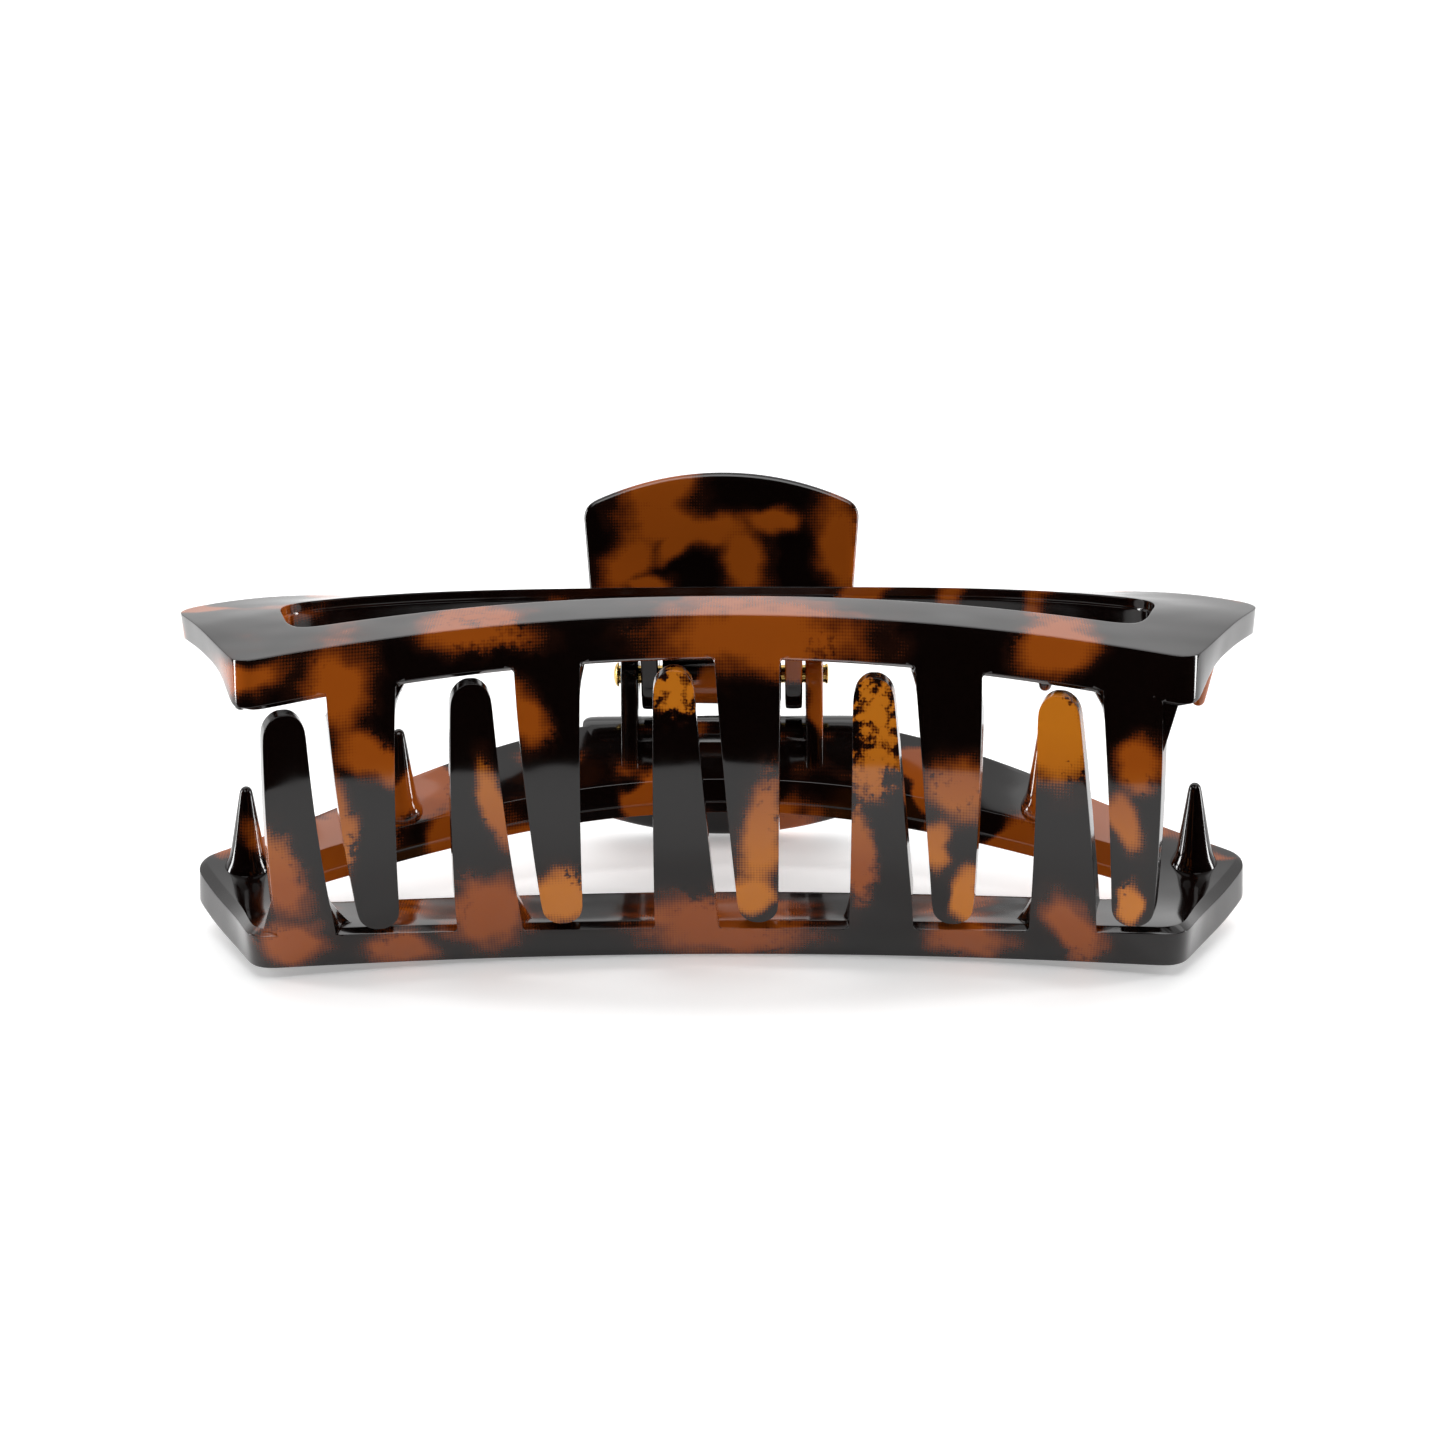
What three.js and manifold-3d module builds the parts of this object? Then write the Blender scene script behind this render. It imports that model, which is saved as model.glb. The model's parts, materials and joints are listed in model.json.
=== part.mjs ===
// Claw clip: two moulded jaws that turn on one pin and are held shut by a torsion spring.
//
// Each jaw is worked out in the clip's own frame, in millimetres:
//   x  along the pin,
//   f  forward from the pin, towards the teeth,
//   z  up from the mid-plane between the two jaws.
// The lower jaw is the upper one turned half a turn about the f axis; only the hinge lugs differ.
// The whole clip is then tipped to lie as it does on a table, on the lower front bar and handle.

import * as THREE from "three";
import { mergeVertices } from "three/addons/utils/BufferGeometryUtils.js";
import Module from "manifold-3d";

const wasm = await Module();
wasm.setup();

// ---------------------------------------------------------------- driving dimensions (mm)

// The frame round the window is a bowed plate. Its long edges are parabolas in plan
// (f = at + bow x^2). The two rear ones climb towards the ends by their crown; ease says how
// late they start. The front ones are parabolas in height too (z = height + rise x^2).
const rearEdge = { at: 0.6, bow: 0.0078, height: 8.4, crown: 7.3, ease: 1.35 };
const windowRear = { at: 8.85, bow: 0.0073, height: 12.95, crown: 3.3, ease: 1.1 };
const windowFront = { at: 28.1, bow: 0.0034 };
const frontTop = { height: 18.35, rise: -0.00095 };
const frontInner = { height: 14.0, rise: -0.0012 };

const endHalfWidth = 55.5; // half the overall width, at the rear corners
const frontHalfWidth = 46.5;
const windowRearHalfWidth = 45.2;
const windowFrontHalfWidth = 42.4;
const outerCornerRun = 2.1; // length of edge that each rounded corner takes up
const windowCornerRun = 3.2;

// The edge walls lean back by the way the mould opens: down the wall from the outer face.
const wallDrop = 3.5;
const wallLean = 1.1;
// Chamfer along the inner face behind the front bar and the two ends; the rear edge is left
// almost sharp.
const chamfer = { drop: 0.6, inset: 1.0 };
const rearChamferShare = 0.15;

// Front faces of the bar and the teeth lie on one cylinder about an axis parallel to the pin.
const toothArcCentre = 5.84;
const toothArcRadius = 34.3;
const toothArcBow = 0.0032;

// Each tooth: its slanted and its straight edge at the root, where the straight edge is at the
// tip, and how far the tip reaches past the mid-plane. The two jaws differ a little.
const teeth = {
  upper: [
    { slanted: -38.15, straight: -31.3, tip: -31.8, reach: 12.75 },
    { slanted: -20.0, straight: -13.3, tip: -13.6, reach: 13.6 },
    { slanted: -0.2, straight: 6.45, tip: 6.15, reach: 13.9 },
    { slanted: 19.6, straight: 26.35, tip: 25.7, reach: 13.3 },
    { slanted: 37.8, straight: 43.6, tip: 43.3, reach: 11.8 },
  ],
  lower: [
    { slanted: -38.15, straight: -31.3, tip: -31.6, reach: 12.2 },
    { slanted: -20.0, straight: -13.3, tip: -13.6, reach: 13.05 },
    { slanted: -0.2, straight: 6.45, tip: 6.15, reach: 13.6 },
    { slanted: 19.6, straight: 26.35, tip: 26.05, reach: 13.0 },
    { slanted: 38.1, straight: 43.85, tip: 44.0, reach: 11.35 },
  ],
};
const toothTipWidth = 4.1;
const toothRootThickness = 2.8;
const toothTipThickness = 1.9;
const toothNose = 0.15; // share of the thickness left at the very tip

const gusset = { width: 1.8, height: 4.6, thickness: 1.6 }; // rib in the corner by the last tooth

// Cones on the inner faces, two at the ends and two on the rear bar.
const spikes = [
  { x: 49.65, f: 22.9, tipHeight: 4.25, lean: 1.6 },
  { x: 34.7, f: 11.7, tipHeight: 2.0, lean: 1.8 },
];
const spikeTipRadius = 0.72;
const spikeRootRadius = 1.75;
const spikeFootRadius = 2.1;
const spikeFootHeight = 1.3;

// Handle: a flat plate that leaves the frame at the waist.
const handleSlope = THREE.MathUtils.degToRad(66.5);
const handleTip = { f: -5.8, z: 21.6 };
const handleThickness = 2.8;
const handleTipHalfWidth = 15.25;
const handleWaistHalfWidth = 14.3;
const handleTipArch = 3.7; // height of the arched tip above its corners
const handleCornerRun = 1.3;
const handleCreaseRun = 1.3; // length that the bend at the foot of the outer face takes up
const waistFloor = 5.1; // the waist's nearest height above the pin's axis
const waistFlareHalfWidth = 15.9; // where the waist has run out into the plate's rear edge
const waistFlareFoot = 4.0; // up the handle

// Hinge: the upper jaw's lugs stand inside the lower jaw's.
const lugRadius = 3.9;
const lugThickness = 1.95;
const innerLugStart = 6.9;
const lugGap = 0.3;
const lugFoot = 7.2; // how far forward a lug's web meets the plate
const pinRadius = 1.0;
const pinClearance = 0.08;
const pinHead = { radius: 1.35, height: 0.6 };
const pinTail = { radius: 1.12, height: 0.35 };
const pinEndGap = 0.3;

// Torsion spring on the pin, inside a half-round shroud on the upper jaw.
const wireRadius = 0.45;
const coilRadius = 1.72;
const coilPitch = 1.0;
const coilTurns = 10;
const legLength = 12.5;
const legGap = 0.3;
const shroudInnerRadius = 2.6;
const shroudWall = 0.75;

const embed = 0.2; // how deep one moulded feature is sunk into the next before they are joined
const skinStep = 0.04; // keeps two joined faces from lying exactly on each other

// ---------------------------------------------------------------- materials

const tortoise = new THREE.MeshStandardMaterial({ color: "#4a2410", roughness: 0.08, metalness: 0 });
const brass = new THREE.MeshStandardMaterial({ color: "#d9b56a", roughness: 0.25, metalness: 1 });
const steel = new THREE.MeshStandardMaterial({ color: "#b9b6b0", roughness: 0.3, metalness: 1 });

// ---------------------------------------------------------------- solids

// Points in a jaw's frame, as a three.js vector.
const place = (x, f, z) => new THREE.Vector3(x, -f, z);

// Signed volume of an indexed geometry; negative when its faces point inwards.
function signedVolume(geometry) {
  const position = geometry.getAttribute("position");
  const index = geometry.getIndex();
  const corner = [new THREE.Vector3(), new THREE.Vector3(), new THREE.Vector3()];
  let volume = 0;
  for (let i = 0; i < index.count; i += 3) {
    corner.forEach((c, k) => c.fromBufferAttribute(position, index.getX(i + k)));
    volume += corner[0].dot(corner[1].cross(corner[2])) / 6;
  }
  return volume;
}

function faceOutwards(geometry) {
  if (signedVolume(geometry) >= 0) return geometry;
  const index = geometry.getIndex();
  for (let i = 0; i < index.count; i += 3) {
    const second = index.getX(i + 1);
    index.setX(i + 1, index.getX(i + 2));
    index.setX(i + 2, second);
  }
  return geometry;
}

// Skin over a row of loops with the same number of points. A closed row joins its last loop to
// its first; an open one gets a flat cap at each end.
function loft(loops, closed) {
  const count = loops[0].length;
  const points = loops.flat();
  const triangles = [];
  const last = closed ? loops.length : loops.length - 1;
  for (let i = 0; i < last; i++) {
    const here = i * count;
    const next = ((i + 1) % loops.length) * count;
    for (let k = 0; k < count; k++) {
      const after = (k + 1) % count;
      triangles.push(here + k, next + k, next + after, here + k, next + after, here + after);
    }
  }
  if (!closed) {
    const end = (loops.length - 1) * count;
    for (let k = 1; k < count - 1; k++) {
      triangles.push(0, k, k + 1, end, end + k + 1, end + k);
    }
  }
  const geometry = new THREE.BufferGeometry().setFromPoints(points);
  geometry.setIndex(triangles);
  return faceOutwards(geometry);
}

// A flat outline in f and z, carried along the pin from one x to another.
function slab(outline, fromX, toX, curveSegments = 12) {
  const geometry = new THREE.ExtrudeGeometry(outline, {
    depth: toX - fromX, bevelEnabled: false, curveSegments,
  });
  // shape x -> f, shape y -> z, depth -> x
  const turn = new THREE.Matrix4().makeBasis(
    new THREE.Vector3(0, -1, 0), new THREE.Vector3(0, 0, 1), new THREE.Vector3(1, 0, 0));
  geometry.applyMatrix4(turn).translate(fromX, 0, 0);
  return geometry;
}

function toManifold(geometry) {
  const bare = geometry.clone();
  bare.deleteAttribute("normal");
  bare.deleteAttribute("uv");
  const merged = faceOutwards(mergeVertices(bare, 1e-5));
  return new wasm.Manifold(new wasm.Mesh({
    numProp: 3,
    vertProperties: new Float32Array(merged.getAttribute("position").array),
    triVerts: new Uint32Array(merged.getIndex().array),
  }));
}

function toGeometry(solid) {
  const mesh = solid.getMesh();
  const geometry = new THREE.BufferGeometry();
  geometry.setAttribute("position", new THREE.BufferAttribute(mesh.vertProperties, 3));
  geometry.setIndex(new THREE.BufferAttribute(mesh.triVerts, 1));
  geometry.computeVertexNormals();
  return geometry;
}

// ---------------------------------------------------------------- the bowed plate

function rearEdgeAt(edge, x) {
  const way = Math.min(1, Math.abs(x) / endHalfWidth) ** edge.ease;
  const climb = Math.sin((Math.PI / 2) * way) ** 2;
  return { f: edge.at + edge.bow * x * x, z: edge.height + edge.crown * climb };
}

const windowFrontAt = (x) => windowFront.at + windowFront.bow * x * x;

const heightOf = (edge, x) => edge.height + edge.rise * x * x;

// The cylinder that the front faces lie on.
function toothFace(x, z) {
  return toothArcCentre + toothArcBow * x * x + Math.sqrt(toothArcRadius ** 2 - z * z);
}

function frontTopAt(x) {
  const z = heightOf(frontTop, x);
  return { f: toothFace(x, z), z };
}

// Height of the outer face: straight over the rear bar, then easing level towards the front.
function outerHeight(x, f) {
  const rear = rearEdgeAt(rearEdge, x);
  const crest = rearEdgeAt(windowRear, x);
  const slope = (crest.z - rear.z) / (crest.f - rear.f);
  if (f <= crest.f) return crest.z + slope * (f - crest.f);
  const front = frontTopAt(x);
  const run = front.f - crest.f;
  const t = Math.min(1, (f - crest.f) / run);
  const startWeight = 2 * t ** 3 - 3 * t ** 2 + 1;
  const slopeWeight = t ** 3 - 2 * t ** 2 + t;
  return startWeight * crest.z + slopeWeight * run * slope + (1 - startWeight) * front.z;
}

// How far a point lies from the window's front edge (0) to the front edge of the bar (1).
const towardsFront = (x, f) => THREE.MathUtils.smoothstep(f, windowFrontAt(x), frontTopAt(x).f);

// Drop from the outer to the inner face.
function plateDrop(x, f) {
  const front = heightOf(frontTop, x) - heightOf(frontInner, x);
  return THREE.MathUtils.lerp(wallDrop, front, towardsFront(x, f));
}

// A point of the plate: depth 0 is the outer face and 1 the inner one. Towards the front edge
// the way down bends from the leaning walls to the tooth cylinder.
function inPlate(x, f, depth) {
  const front = frontTopAt(x);
  const toFront = towardsFront(x, f);
  const lipF = toothFace(x, front.z - depth * plateDrop(x, front.f)) - front.f;
  return new THREE.Vector3(x, f + THREE.MathUtils.lerp(-wallLean * depth, lipF, toFront),
    outerHeight(x, f) - depth * plateDrop(x, f));
}

// An outline of four edges with rounded corners, as stations {x, f, front}. Both outlines of
// the frame use the same steps, so station i of one faces station i of the other.
const frameSteps = { long: 26, end: 6, corner: 4 };

function frameOutline(rearF, frontF, rearHalf, frontHalf, cornerRun) {
  const rearCorner = new THREE.Vector2(rearHalf, rearF(rearHalf));
  const frontCorner = new THREE.Vector2(frontHalf, frontF(frontHalf));
  const end = new THREE.Vector2().subVectors(frontCorner, rearCorner);
  const endRun = cornerRun / end.length();
  const half = [];
  for (let i = 0; i <= frameSteps.long / 2; i++) {
    const x = (rearHalf - cornerRun) * (i / (frameSteps.long / 2));
    half.push(new THREE.Vector2(x, rearF(x)));
  }
  const onEnd = (t) => rearCorner.clone().addScaledVector(end, t);
  half.push(...cornerPoints(half.at(-1), rearCorner, onEnd(endRun)));
  for (let i = 0; i <= frameSteps.end; i++) {
    half.push(onEnd(endRun + (1 - 2 * endRun) * (i / frameSteps.end)));
  }
  const frontStart = new THREE.Vector2(frontHalf - cornerRun, frontF(frontHalf - cornerRun));
  half.push(...cornerPoints(half.at(-1), frontCorner, frontStart));
  for (let i = frameSteps.long / 2; i >= 0; i--) {
    const x = (frontHalf - cornerRun) * (i / (frameSteps.long / 2));
    half.push(new THREE.Vector2(x, frontF(x)));
  }
  const mirrored = half.slice(1, -1).reverse().map((p) => new THREE.Vector2(-p.x, p.y));
  return [...half, ...mirrored];
}

// Points between the two ends of a rounded corner, on a curve towards the corner itself.
function cornerPoints(from, corner, to) {
  const curve = new THREE.QuadraticBezierCurve(from, corner, to);
  return curve.getPoints(frameSteps.corner).slice(1, -1);
}

function frameSolid() {
  const outside = frameOutline((x) => rearEdgeAt(rearEdge, x).f, (x) => frontTopAt(x).f,
    endHalfWidth, frontHalfWidth, outerCornerRun);
  const inside = frameOutline((x) => rearEdgeAt(windowRear, x).f, windowFrontAt,
    windowRearHalfWidth, windowFrontHalfWidth, windowCornerRun);
  const across = 4;
  const loops = outside.map((o, i) => {
    const w = inside[i];
    const toEnd = THREE.MathUtils.smoothstep(o.y - rearEdgeAt(rearEdge, o.x).f, 0, 2);
    const share = THREE.MathUtils.lerp(rearChamferShare, 1, toEnd);
    const wall = 1 - (share * chamfer.drop) / plateDrop(o.x, o.y);
    const inset = (share * chamfer.inset) / o.distanceTo(w);
    const at = (t, depth) => {
      const p = o.clone().lerp(w, t);
      const q = inPlate(p.x, p.y, depth);
      return place(q.x, q.y, q.z);
    };
    const loop = [];
    for (let k = 0; k <= across; k++) loop.push(at(k / across, 0));
    for (let k = across; k >= 0; k--) loop.push(at(THREE.MathUtils.lerp(inset, 1, k / across), 1));
    loop.push(at(0, wall), at(0, wall / 2));
    return loop;
  });
  return loft(loops, true);
}

// ---------------------------------------------------------------- teeth, gusset and spikes

function toothSolid(tooth) {
  const rootX = (tooth.slanted + tooth.straight) / 2;
  const rootHeight = heightOf(frontInner, rootX) + 1.6;
  const radius = toothTipWidth / 2;
  const side = Math.sign(tooth.straight - tooth.slanted);
  const slantedTip = tooth.tip - side * toothTipWidth;
  const shankSteps = 10;
  const shankEnd = radius - tooth.reach;
  const rows = [];
  for (let i = 0; i <= shankSteps; i++) {
    const t = i / shankSteps;
    rows.push({ z: THREE.MathUtils.lerp(rootHeight, shankEnd, t), nose: 1,
      a: THREE.MathUtils.lerp(tooth.slanted, slantedTip, t),
      b: THREE.MathUtils.lerp(tooth.straight, tooth.tip, t) });
  }
  const roundSteps = 5;
  const tipX = (tooth.tip + slantedTip) / 2;
  for (let i = 1; i <= roundSteps; i++) {
    const angle = (i / roundSteps) * THREE.MathUtils.degToRad(80);
    const halfWidth = radius * Math.cos(angle);
    rows.push({ z: shankEnd - radius * Math.sin(angle), a: tipX - side * halfWidth,
      b: tipX + side * halfWidth, nose: THREE.MathUtils.lerp(toothNose, 1, Math.cos(angle)) });
  }
  const loops = rows.map((row) => {
    const t = (rootHeight - row.z) / (rootHeight + tooth.reach);
    const thick = THREE.MathUtils.lerp(toothRootThickness, toothTipThickness, t) * row.nose;
    // The sides run square to the bowed front, so the back sits a little further out.
    const out = (x) => x * (1 + 2 * toothArcBow * thick);
    const face = (x) => toothFace(x, row.z) - skinStep;
    return [place(row.a, face(row.a), row.z), place(row.b, face(row.b), row.z),
      place(out(row.b), face(row.b) - thick, row.z), place(out(row.a), face(row.a) - thick, row.z)];
  });
  return loft(loops, false);
}

function gussetSolid(tooth) {
  const edge = tooth.straight;
  const top = heightOf(frontInner, edge) + 1.0;
  const rows = [
    { z: top, out: gusset.width },
    { z: top - 0.8, out: gusset.width },
    { z: top - 0.8 - gusset.height, out: 0.1 },
  ];
  const loops = rows.map(({ z, out }) => {
    const back = toothFace(edge, z) - 0.5;
    const deep = back - gusset.thickness;
    return [place(edge - 1, back, z), place(edge + out, back, z),
      place(edge + out, deep, z), place(edge - 1, deep, z)];
  });
  return loft(loops, false);
}

function spikeSolid({ x, f, tipHeight: tip, lean }) {
  const seat = outerHeight(x, f + lean) - wallDrop; // the plate's inner face
  const profile = [
    new THREE.Vector2(0, seat + wallDrop / 2),
    new THREE.Vector2(spikeFootRadius, seat + wallDrop / 2),
    new THREE.Vector2(spikeFootRadius, seat + embed),
    new THREE.Vector2(spikeRootRadius, seat - spikeFootHeight),
    new THREE.Vector2(spikeTipRadius, tip + spikeTipRadius),
    new THREE.Vector2(spikeTipRadius * Math.SQRT1_2, tip + spikeTipRadius * (1 - Math.SQRT1_2)),
    new THREE.Vector2(0, tip),
  ];
  // The cone's foot stands further forward than its tip.
  const slant = new THREE.Matrix4().makeShear(0, 0, 0, 0, 0, -lean / (seat - tip));
  return new THREE.LatheGeometry(profile, 16).rotateX(Math.PI / 2).translate(0, 0, -tip)
    .applyMatrix4(slant).translate(x, -f, tip);
}

// ---------------------------------------------------------------- handle, waist and hinge lugs

const handleAlong = new THREE.Vector2(-Math.cos(handleSlope), Math.sin(handleSlope)); // f, z
const handleOut = new THREE.Vector2(Math.sin(handleSlope), Math.cos(handleSlope));
const handleTopPoint = new THREE.Vector2(handleTip.f, handleTip.z);
const handlePlane = handleOut.dot(handleTopPoint); // distance of the outer face from the pin's axis
const handleInnerPlane = handlePlane - handleThickness;

// The point at a distance out from the pin's axis and a length up the handle.
const onHandle = (out, up) => handleOut.clone().multiplyScalar(out).addScaledVector(handleAlong, up);
const handleTipUp = handleAlong.dot(handleTopPoint);

// Handle and waist in one section, from the tip down to the plate that they grow out of.
function handleSection(x) {
  const reach = 4.6; // how far forward of the plate's rear edge the section goes
  const rear = rearEdgeAt(rearEdge, x).f;
  const top = (f) => outerHeight(x, f) - skinStep;
  const slope = top(1) - top(0); // over one millimetre
  const creaseF = (handlePlane - handleOut.y * top(0)) / (handleOut.x + handleOut.y * slope);
  const crease = new THREE.Vector2(creaseF, top(creaseF));
  const creaseUp = handleAlong.dot(crease);
  const bend = new THREE.QuadraticBezierCurve(onHandle(handlePlane, creaseUp + handleCreaseRun),
    crease, new THREE.Vector2(creaseF + handleCreaseRun, top(creaseF + handleCreaseRun)));
  const beyond = handleTipUp + 2;
  return [
    onHandle(handlePlane, beyond),
    ...bend.getPoints(4),
    new THREE.Vector2(rear + reach, top(rear + reach)),
    new THREE.Vector2(rear + reach - wallLean, top(rear + reach) - wallDrop + 2 * skinStep),
    new THREE.Vector2(1.2, waistFloor + 0.2),
    new THREE.Vector2(0, waistFloor),
    new THREE.Vector2(-1.2, waistFloor + 0.15),
    onHandle(handleInnerPlane, 7.2),
    onHandle(handleInnerPlane, beyond),
  ];
}

// Face of the handle, with its arched tip, as a prism that trims the section.
function handleTrim() {
  const corner = handleTipUp - handleTipArch;
  const run = handleCornerRun;
  const outline = new THREE.Shape();
  outline.moveTo(-waistFlareHalfWidth, -14);
  outline.lineTo(waistFlareHalfWidth, -14);
  outline.lineTo(waistFlareHalfWidth, waistFlareFoot);
  outline.quadraticCurveTo(handleWaistHalfWidth, waistFlareFoot + 0.4,
    handleWaistHalfWidth, waistFlareFoot + 2.6);
  outline.lineTo(handleTipHalfWidth, corner - run);
  const archRadius = (handleTipHalfWidth ** 2 + handleTipArch ** 2) / (2 * handleTipArch);
  const archAt = (x) => handleTipUp - archRadius + Math.sqrt(archRadius ** 2 - x * x);
  const inner = handleTipHalfWidth - run;
  outline.quadraticCurveTo(handleTipHalfWidth, archAt(handleTipHalfWidth), inner, archAt(inner));
  const steps = 16;
  for (let i = 1; i <= steps; i++) {
    const x = inner * (1 - (2 * i) / steps);
    outline.lineTo(x, archAt(x));
  }
  outline.quadraticCurveTo(-handleTipHalfWidth, archAt(handleTipHalfWidth),
    -handleTipHalfWidth, corner - run);
  outline.lineTo(-handleWaistHalfWidth, waistFlareFoot + 2.6);
  outline.quadraticCurveTo(-handleWaistHalfWidth, waistFlareFoot + 0.4,
    -waistFlareHalfWidth, waistFlareFoot);
  outline.closePath();
  const depth = 40;
  const geometry = new THREE.ExtrudeGeometry(outline, { depth, bevelEnabled: false, curveSegments: 4 });
  // shape x -> x, shape y -> up the handle, depth -> out of its face
  const turn = new THREE.Matrix4().makeBasis(new THREE.Vector3(1, 0, 0),
    place(0, handleAlong.x, handleAlong.y), place(0, handleOut.x, handleOut.y));
  return geometry.translate(0, 0, -depth / 2).applyMatrix4(turn);
}

function handleSolid() {
  const half = waistFlareHalfWidth + 1;
  const steps = 12;
  const loops = [];
  for (let i = 0; i <= steps; i++) {
    const x = THREE.MathUtils.lerp(-half, half, i / steps);
    loops.push(handleSection(x).map((p) => place(x, p.x, p.y)));
  }
  return toManifold(loft(loops, false)).intersect(toManifold(handleTrim()));
}

// A round eye about the pin, with a web up to the plate and the waist.
function lugSection() {
  const section = new THREE.Shape();
  section.moveTo(lugFoot, outerHeight(0, lugFoot) - wallDrop * 0.6);
  section.lineTo(-2.2, waistFloor + 1.8);
  section.absarc(0, 0, lugRadius, Math.PI * 0.97, Math.PI * 2.02, false);
  section.closePath();
  return section;
}

function shroudSection() {
  const outer = shroudInnerRadius + shroudWall;
  const section = new THREE.Shape();
  section.absarc(0, 0, outer, -Math.PI * 0.53, Math.PI * 0.3, false);
  section.lineTo(outer * Math.cos(Math.PI * 0.3), waistFloor + 1);
  section.lineTo(0, waistFloor + 1);
  section.absarc(0, 0, shroudInnerRadius, Math.PI * 0.5, -Math.PI * 0.53, true);
  section.closePath();
  return section;
}

const outerLugStart = innerLugStart + lugThickness + lugGap;
const outerLugEnd = outerLugStart + lugThickness;

function pinBore() {
  const length = 2 * outerLugEnd + 4;
  return new THREE.CylinderGeometry(pinRadius + pinClearance, pinRadius + pinClearance, length, 32)
    .rotateZ(Math.PI / 2);
}

// One jaw, upper or lower, in the upper jaw's frame.
function jawSolid(isUpper) {
  const lugStart = isUpper ? innerLugStart : outerLugStart;
  const lugEnd = lugStart + lugThickness;
  let hinge = toManifold(slab(lugSection(), lugStart, lugEnd))
    .add(toManifold(slab(lugSection(), -lugEnd, -lugStart)));
  if (isUpper) {
    const reach = innerLugStart + embed;
    hinge = hinge.add(toManifold(slab(shroudSection(), -reach, reach)));
  }
  hinge = hinge.subtract(toManifold(pinBore()));
  let jaw = toManifold(frameSolid()).add(handleSolid()).add(hinge);
  const row = isUpper ? teeth.upper : teeth.lower;
  for (const tooth of row) jaw = jaw.add(toManifold(toothSolid(tooth)));
  jaw = jaw.add(toManifold(gussetSolid(row.at(-1))));
  for (const spike of spikes) {
    for (const side of [-1, 1]) {
      jaw = jaw.add(toManifold(spikeSolid({ ...spike, x: side * spike.x })));
    }
  }
  return jaw;
}

// ---------------------------------------------------------------- pin and spring

function pinGeometry() {
  const seat = outerLugEnd + pinEndGap;
  const profile = [
    [0, -seat - pinHead.height],
    [pinHead.radius * 0.6, -seat - pinHead.height * 0.9],
    [pinHead.radius, -seat - pinHead.height * 0.4],
    [pinHead.radius, -seat],
    [pinRadius, -seat],
    [pinRadius, seat],
    [pinTail.radius, seat],
    [pinTail.radius, seat + pinTail.height * 0.6],
    [pinTail.radius * 0.8, seat + pinTail.height],
    [0, seat + pinTail.height],
  ].map(([r, x]) => new THREE.Vector2(r, x));
  return new THREE.LatheGeometry(profile, 32).rotateZ(-Math.PI / 2);
}

// The wire runs from the lower handle, round the pin and up the upper handle. Each leg leaves
// the coil at a tangent and ends just short of the handle's inner face.
function springGeometry() {
  const legOut = handleInnerPlane - legGap - wireRadius;
  const reach = Math.hypot(legOut, legLength);
  const leave = Math.atan2(legLength, legOut) + Math.acos(coilRadius / reach)
    + (Math.PI / 2 - handleSlope);
  const half = (coilPitch * coilTurns) / 2;
  const upperEnd = onHandle(legOut, legLength);
  const points = [];
  const leg = (end, x, angle, toEnd) => {
    const start = new THREE.Vector2(Math.cos(angle), Math.sin(angle)).multiplyScalar(coilRadius);
    const steps = [0.08, 0.3, 0.6, 1];
    for (const t of toEnd ? steps : [...steps].reverse()) {
      const p = start.clone().lerp(end, t);
      points.push(place(x, p.x, p.y));
    }
  };
  leg(new THREE.Vector2(upperEnd.x, -upperEnd.y), -half, -leave, false);
  const from = 2 * Math.PI - leave;
  const sweep = 2 * Math.PI * coilTurns + from - leave;
  const stepsPerTurn = 12;
  const steps = stepsPerTurn * coilTurns;
  for (let i = 0; i <= steps; i++) {
    const angle = from - (sweep * i) / steps;
    const x = THREE.MathUtils.lerp(-half, half, i / steps);
    points.push(place(x, coilRadius * Math.cos(angle), coilRadius * Math.sin(angle)));
  }
  leg(upperEnd, half, leave, true);
  const path = new THREE.CatmullRomCurve3(points, false, "centripetal");
  const wire = new THREE.Shape().absarc(0, 0, wireRadius, 0, 2 * Math.PI, false);
  return new THREE.ExtrudeGeometry(wire, {
    steps: steps + 10, bevelEnabled: false, extrudePath: path, curveSegments: 4,
  });
}

// ---------------------------------------------------------------- assembly

function named(name, geometry, material) {
  const mesh = new THREE.Mesh(geometry, material);
  mesh.name = name;
  return mesh;
}

const upperJaw = named("upper_jaw", toGeometry(jawSolid(true)), tortoise);
const lowerJaw = named("lower_jaw", toGeometry(jawSolid(false)), tortoise);
lowerJaw.rotation.y = Math.PI;

const clip = new THREE.Group();
clip.add(upperJaw, lowerJaw);
clip.add(named("hinge_pin", pinGeometry(), brass));
clip.add(named("torsion_spring", springGeometry(), steel));

// The clip lies on the front bar and the handle tip of the lower jaw.
const restDrop = handleTip.z - frontTopAt(0).z;
const restRun = frontTopAt(0).f - handleTip.f;
clip.rotation.x = Math.atan(restDrop / restRun);
clip.updateMatrixWorld(true);
const bounds = new THREE.Box3().setFromObject(clip, true);
const middle = bounds.getCenter(new THREE.Vector3());
clip.position.set(-middle.x, -middle.y, -bounds.min.z);

const part = new THREE.Group();
part.add(clip);
export default part;
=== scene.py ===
"""Visual model of a claw clip: two tortoiseshell mouldings on a sprung brass pin."""

import json
import logging
import math
from dataclasses import dataclass
from enum import Enum
from typing import Callable

import bmesh
import bpy
from mathutils import Matrix, Vector


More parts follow.
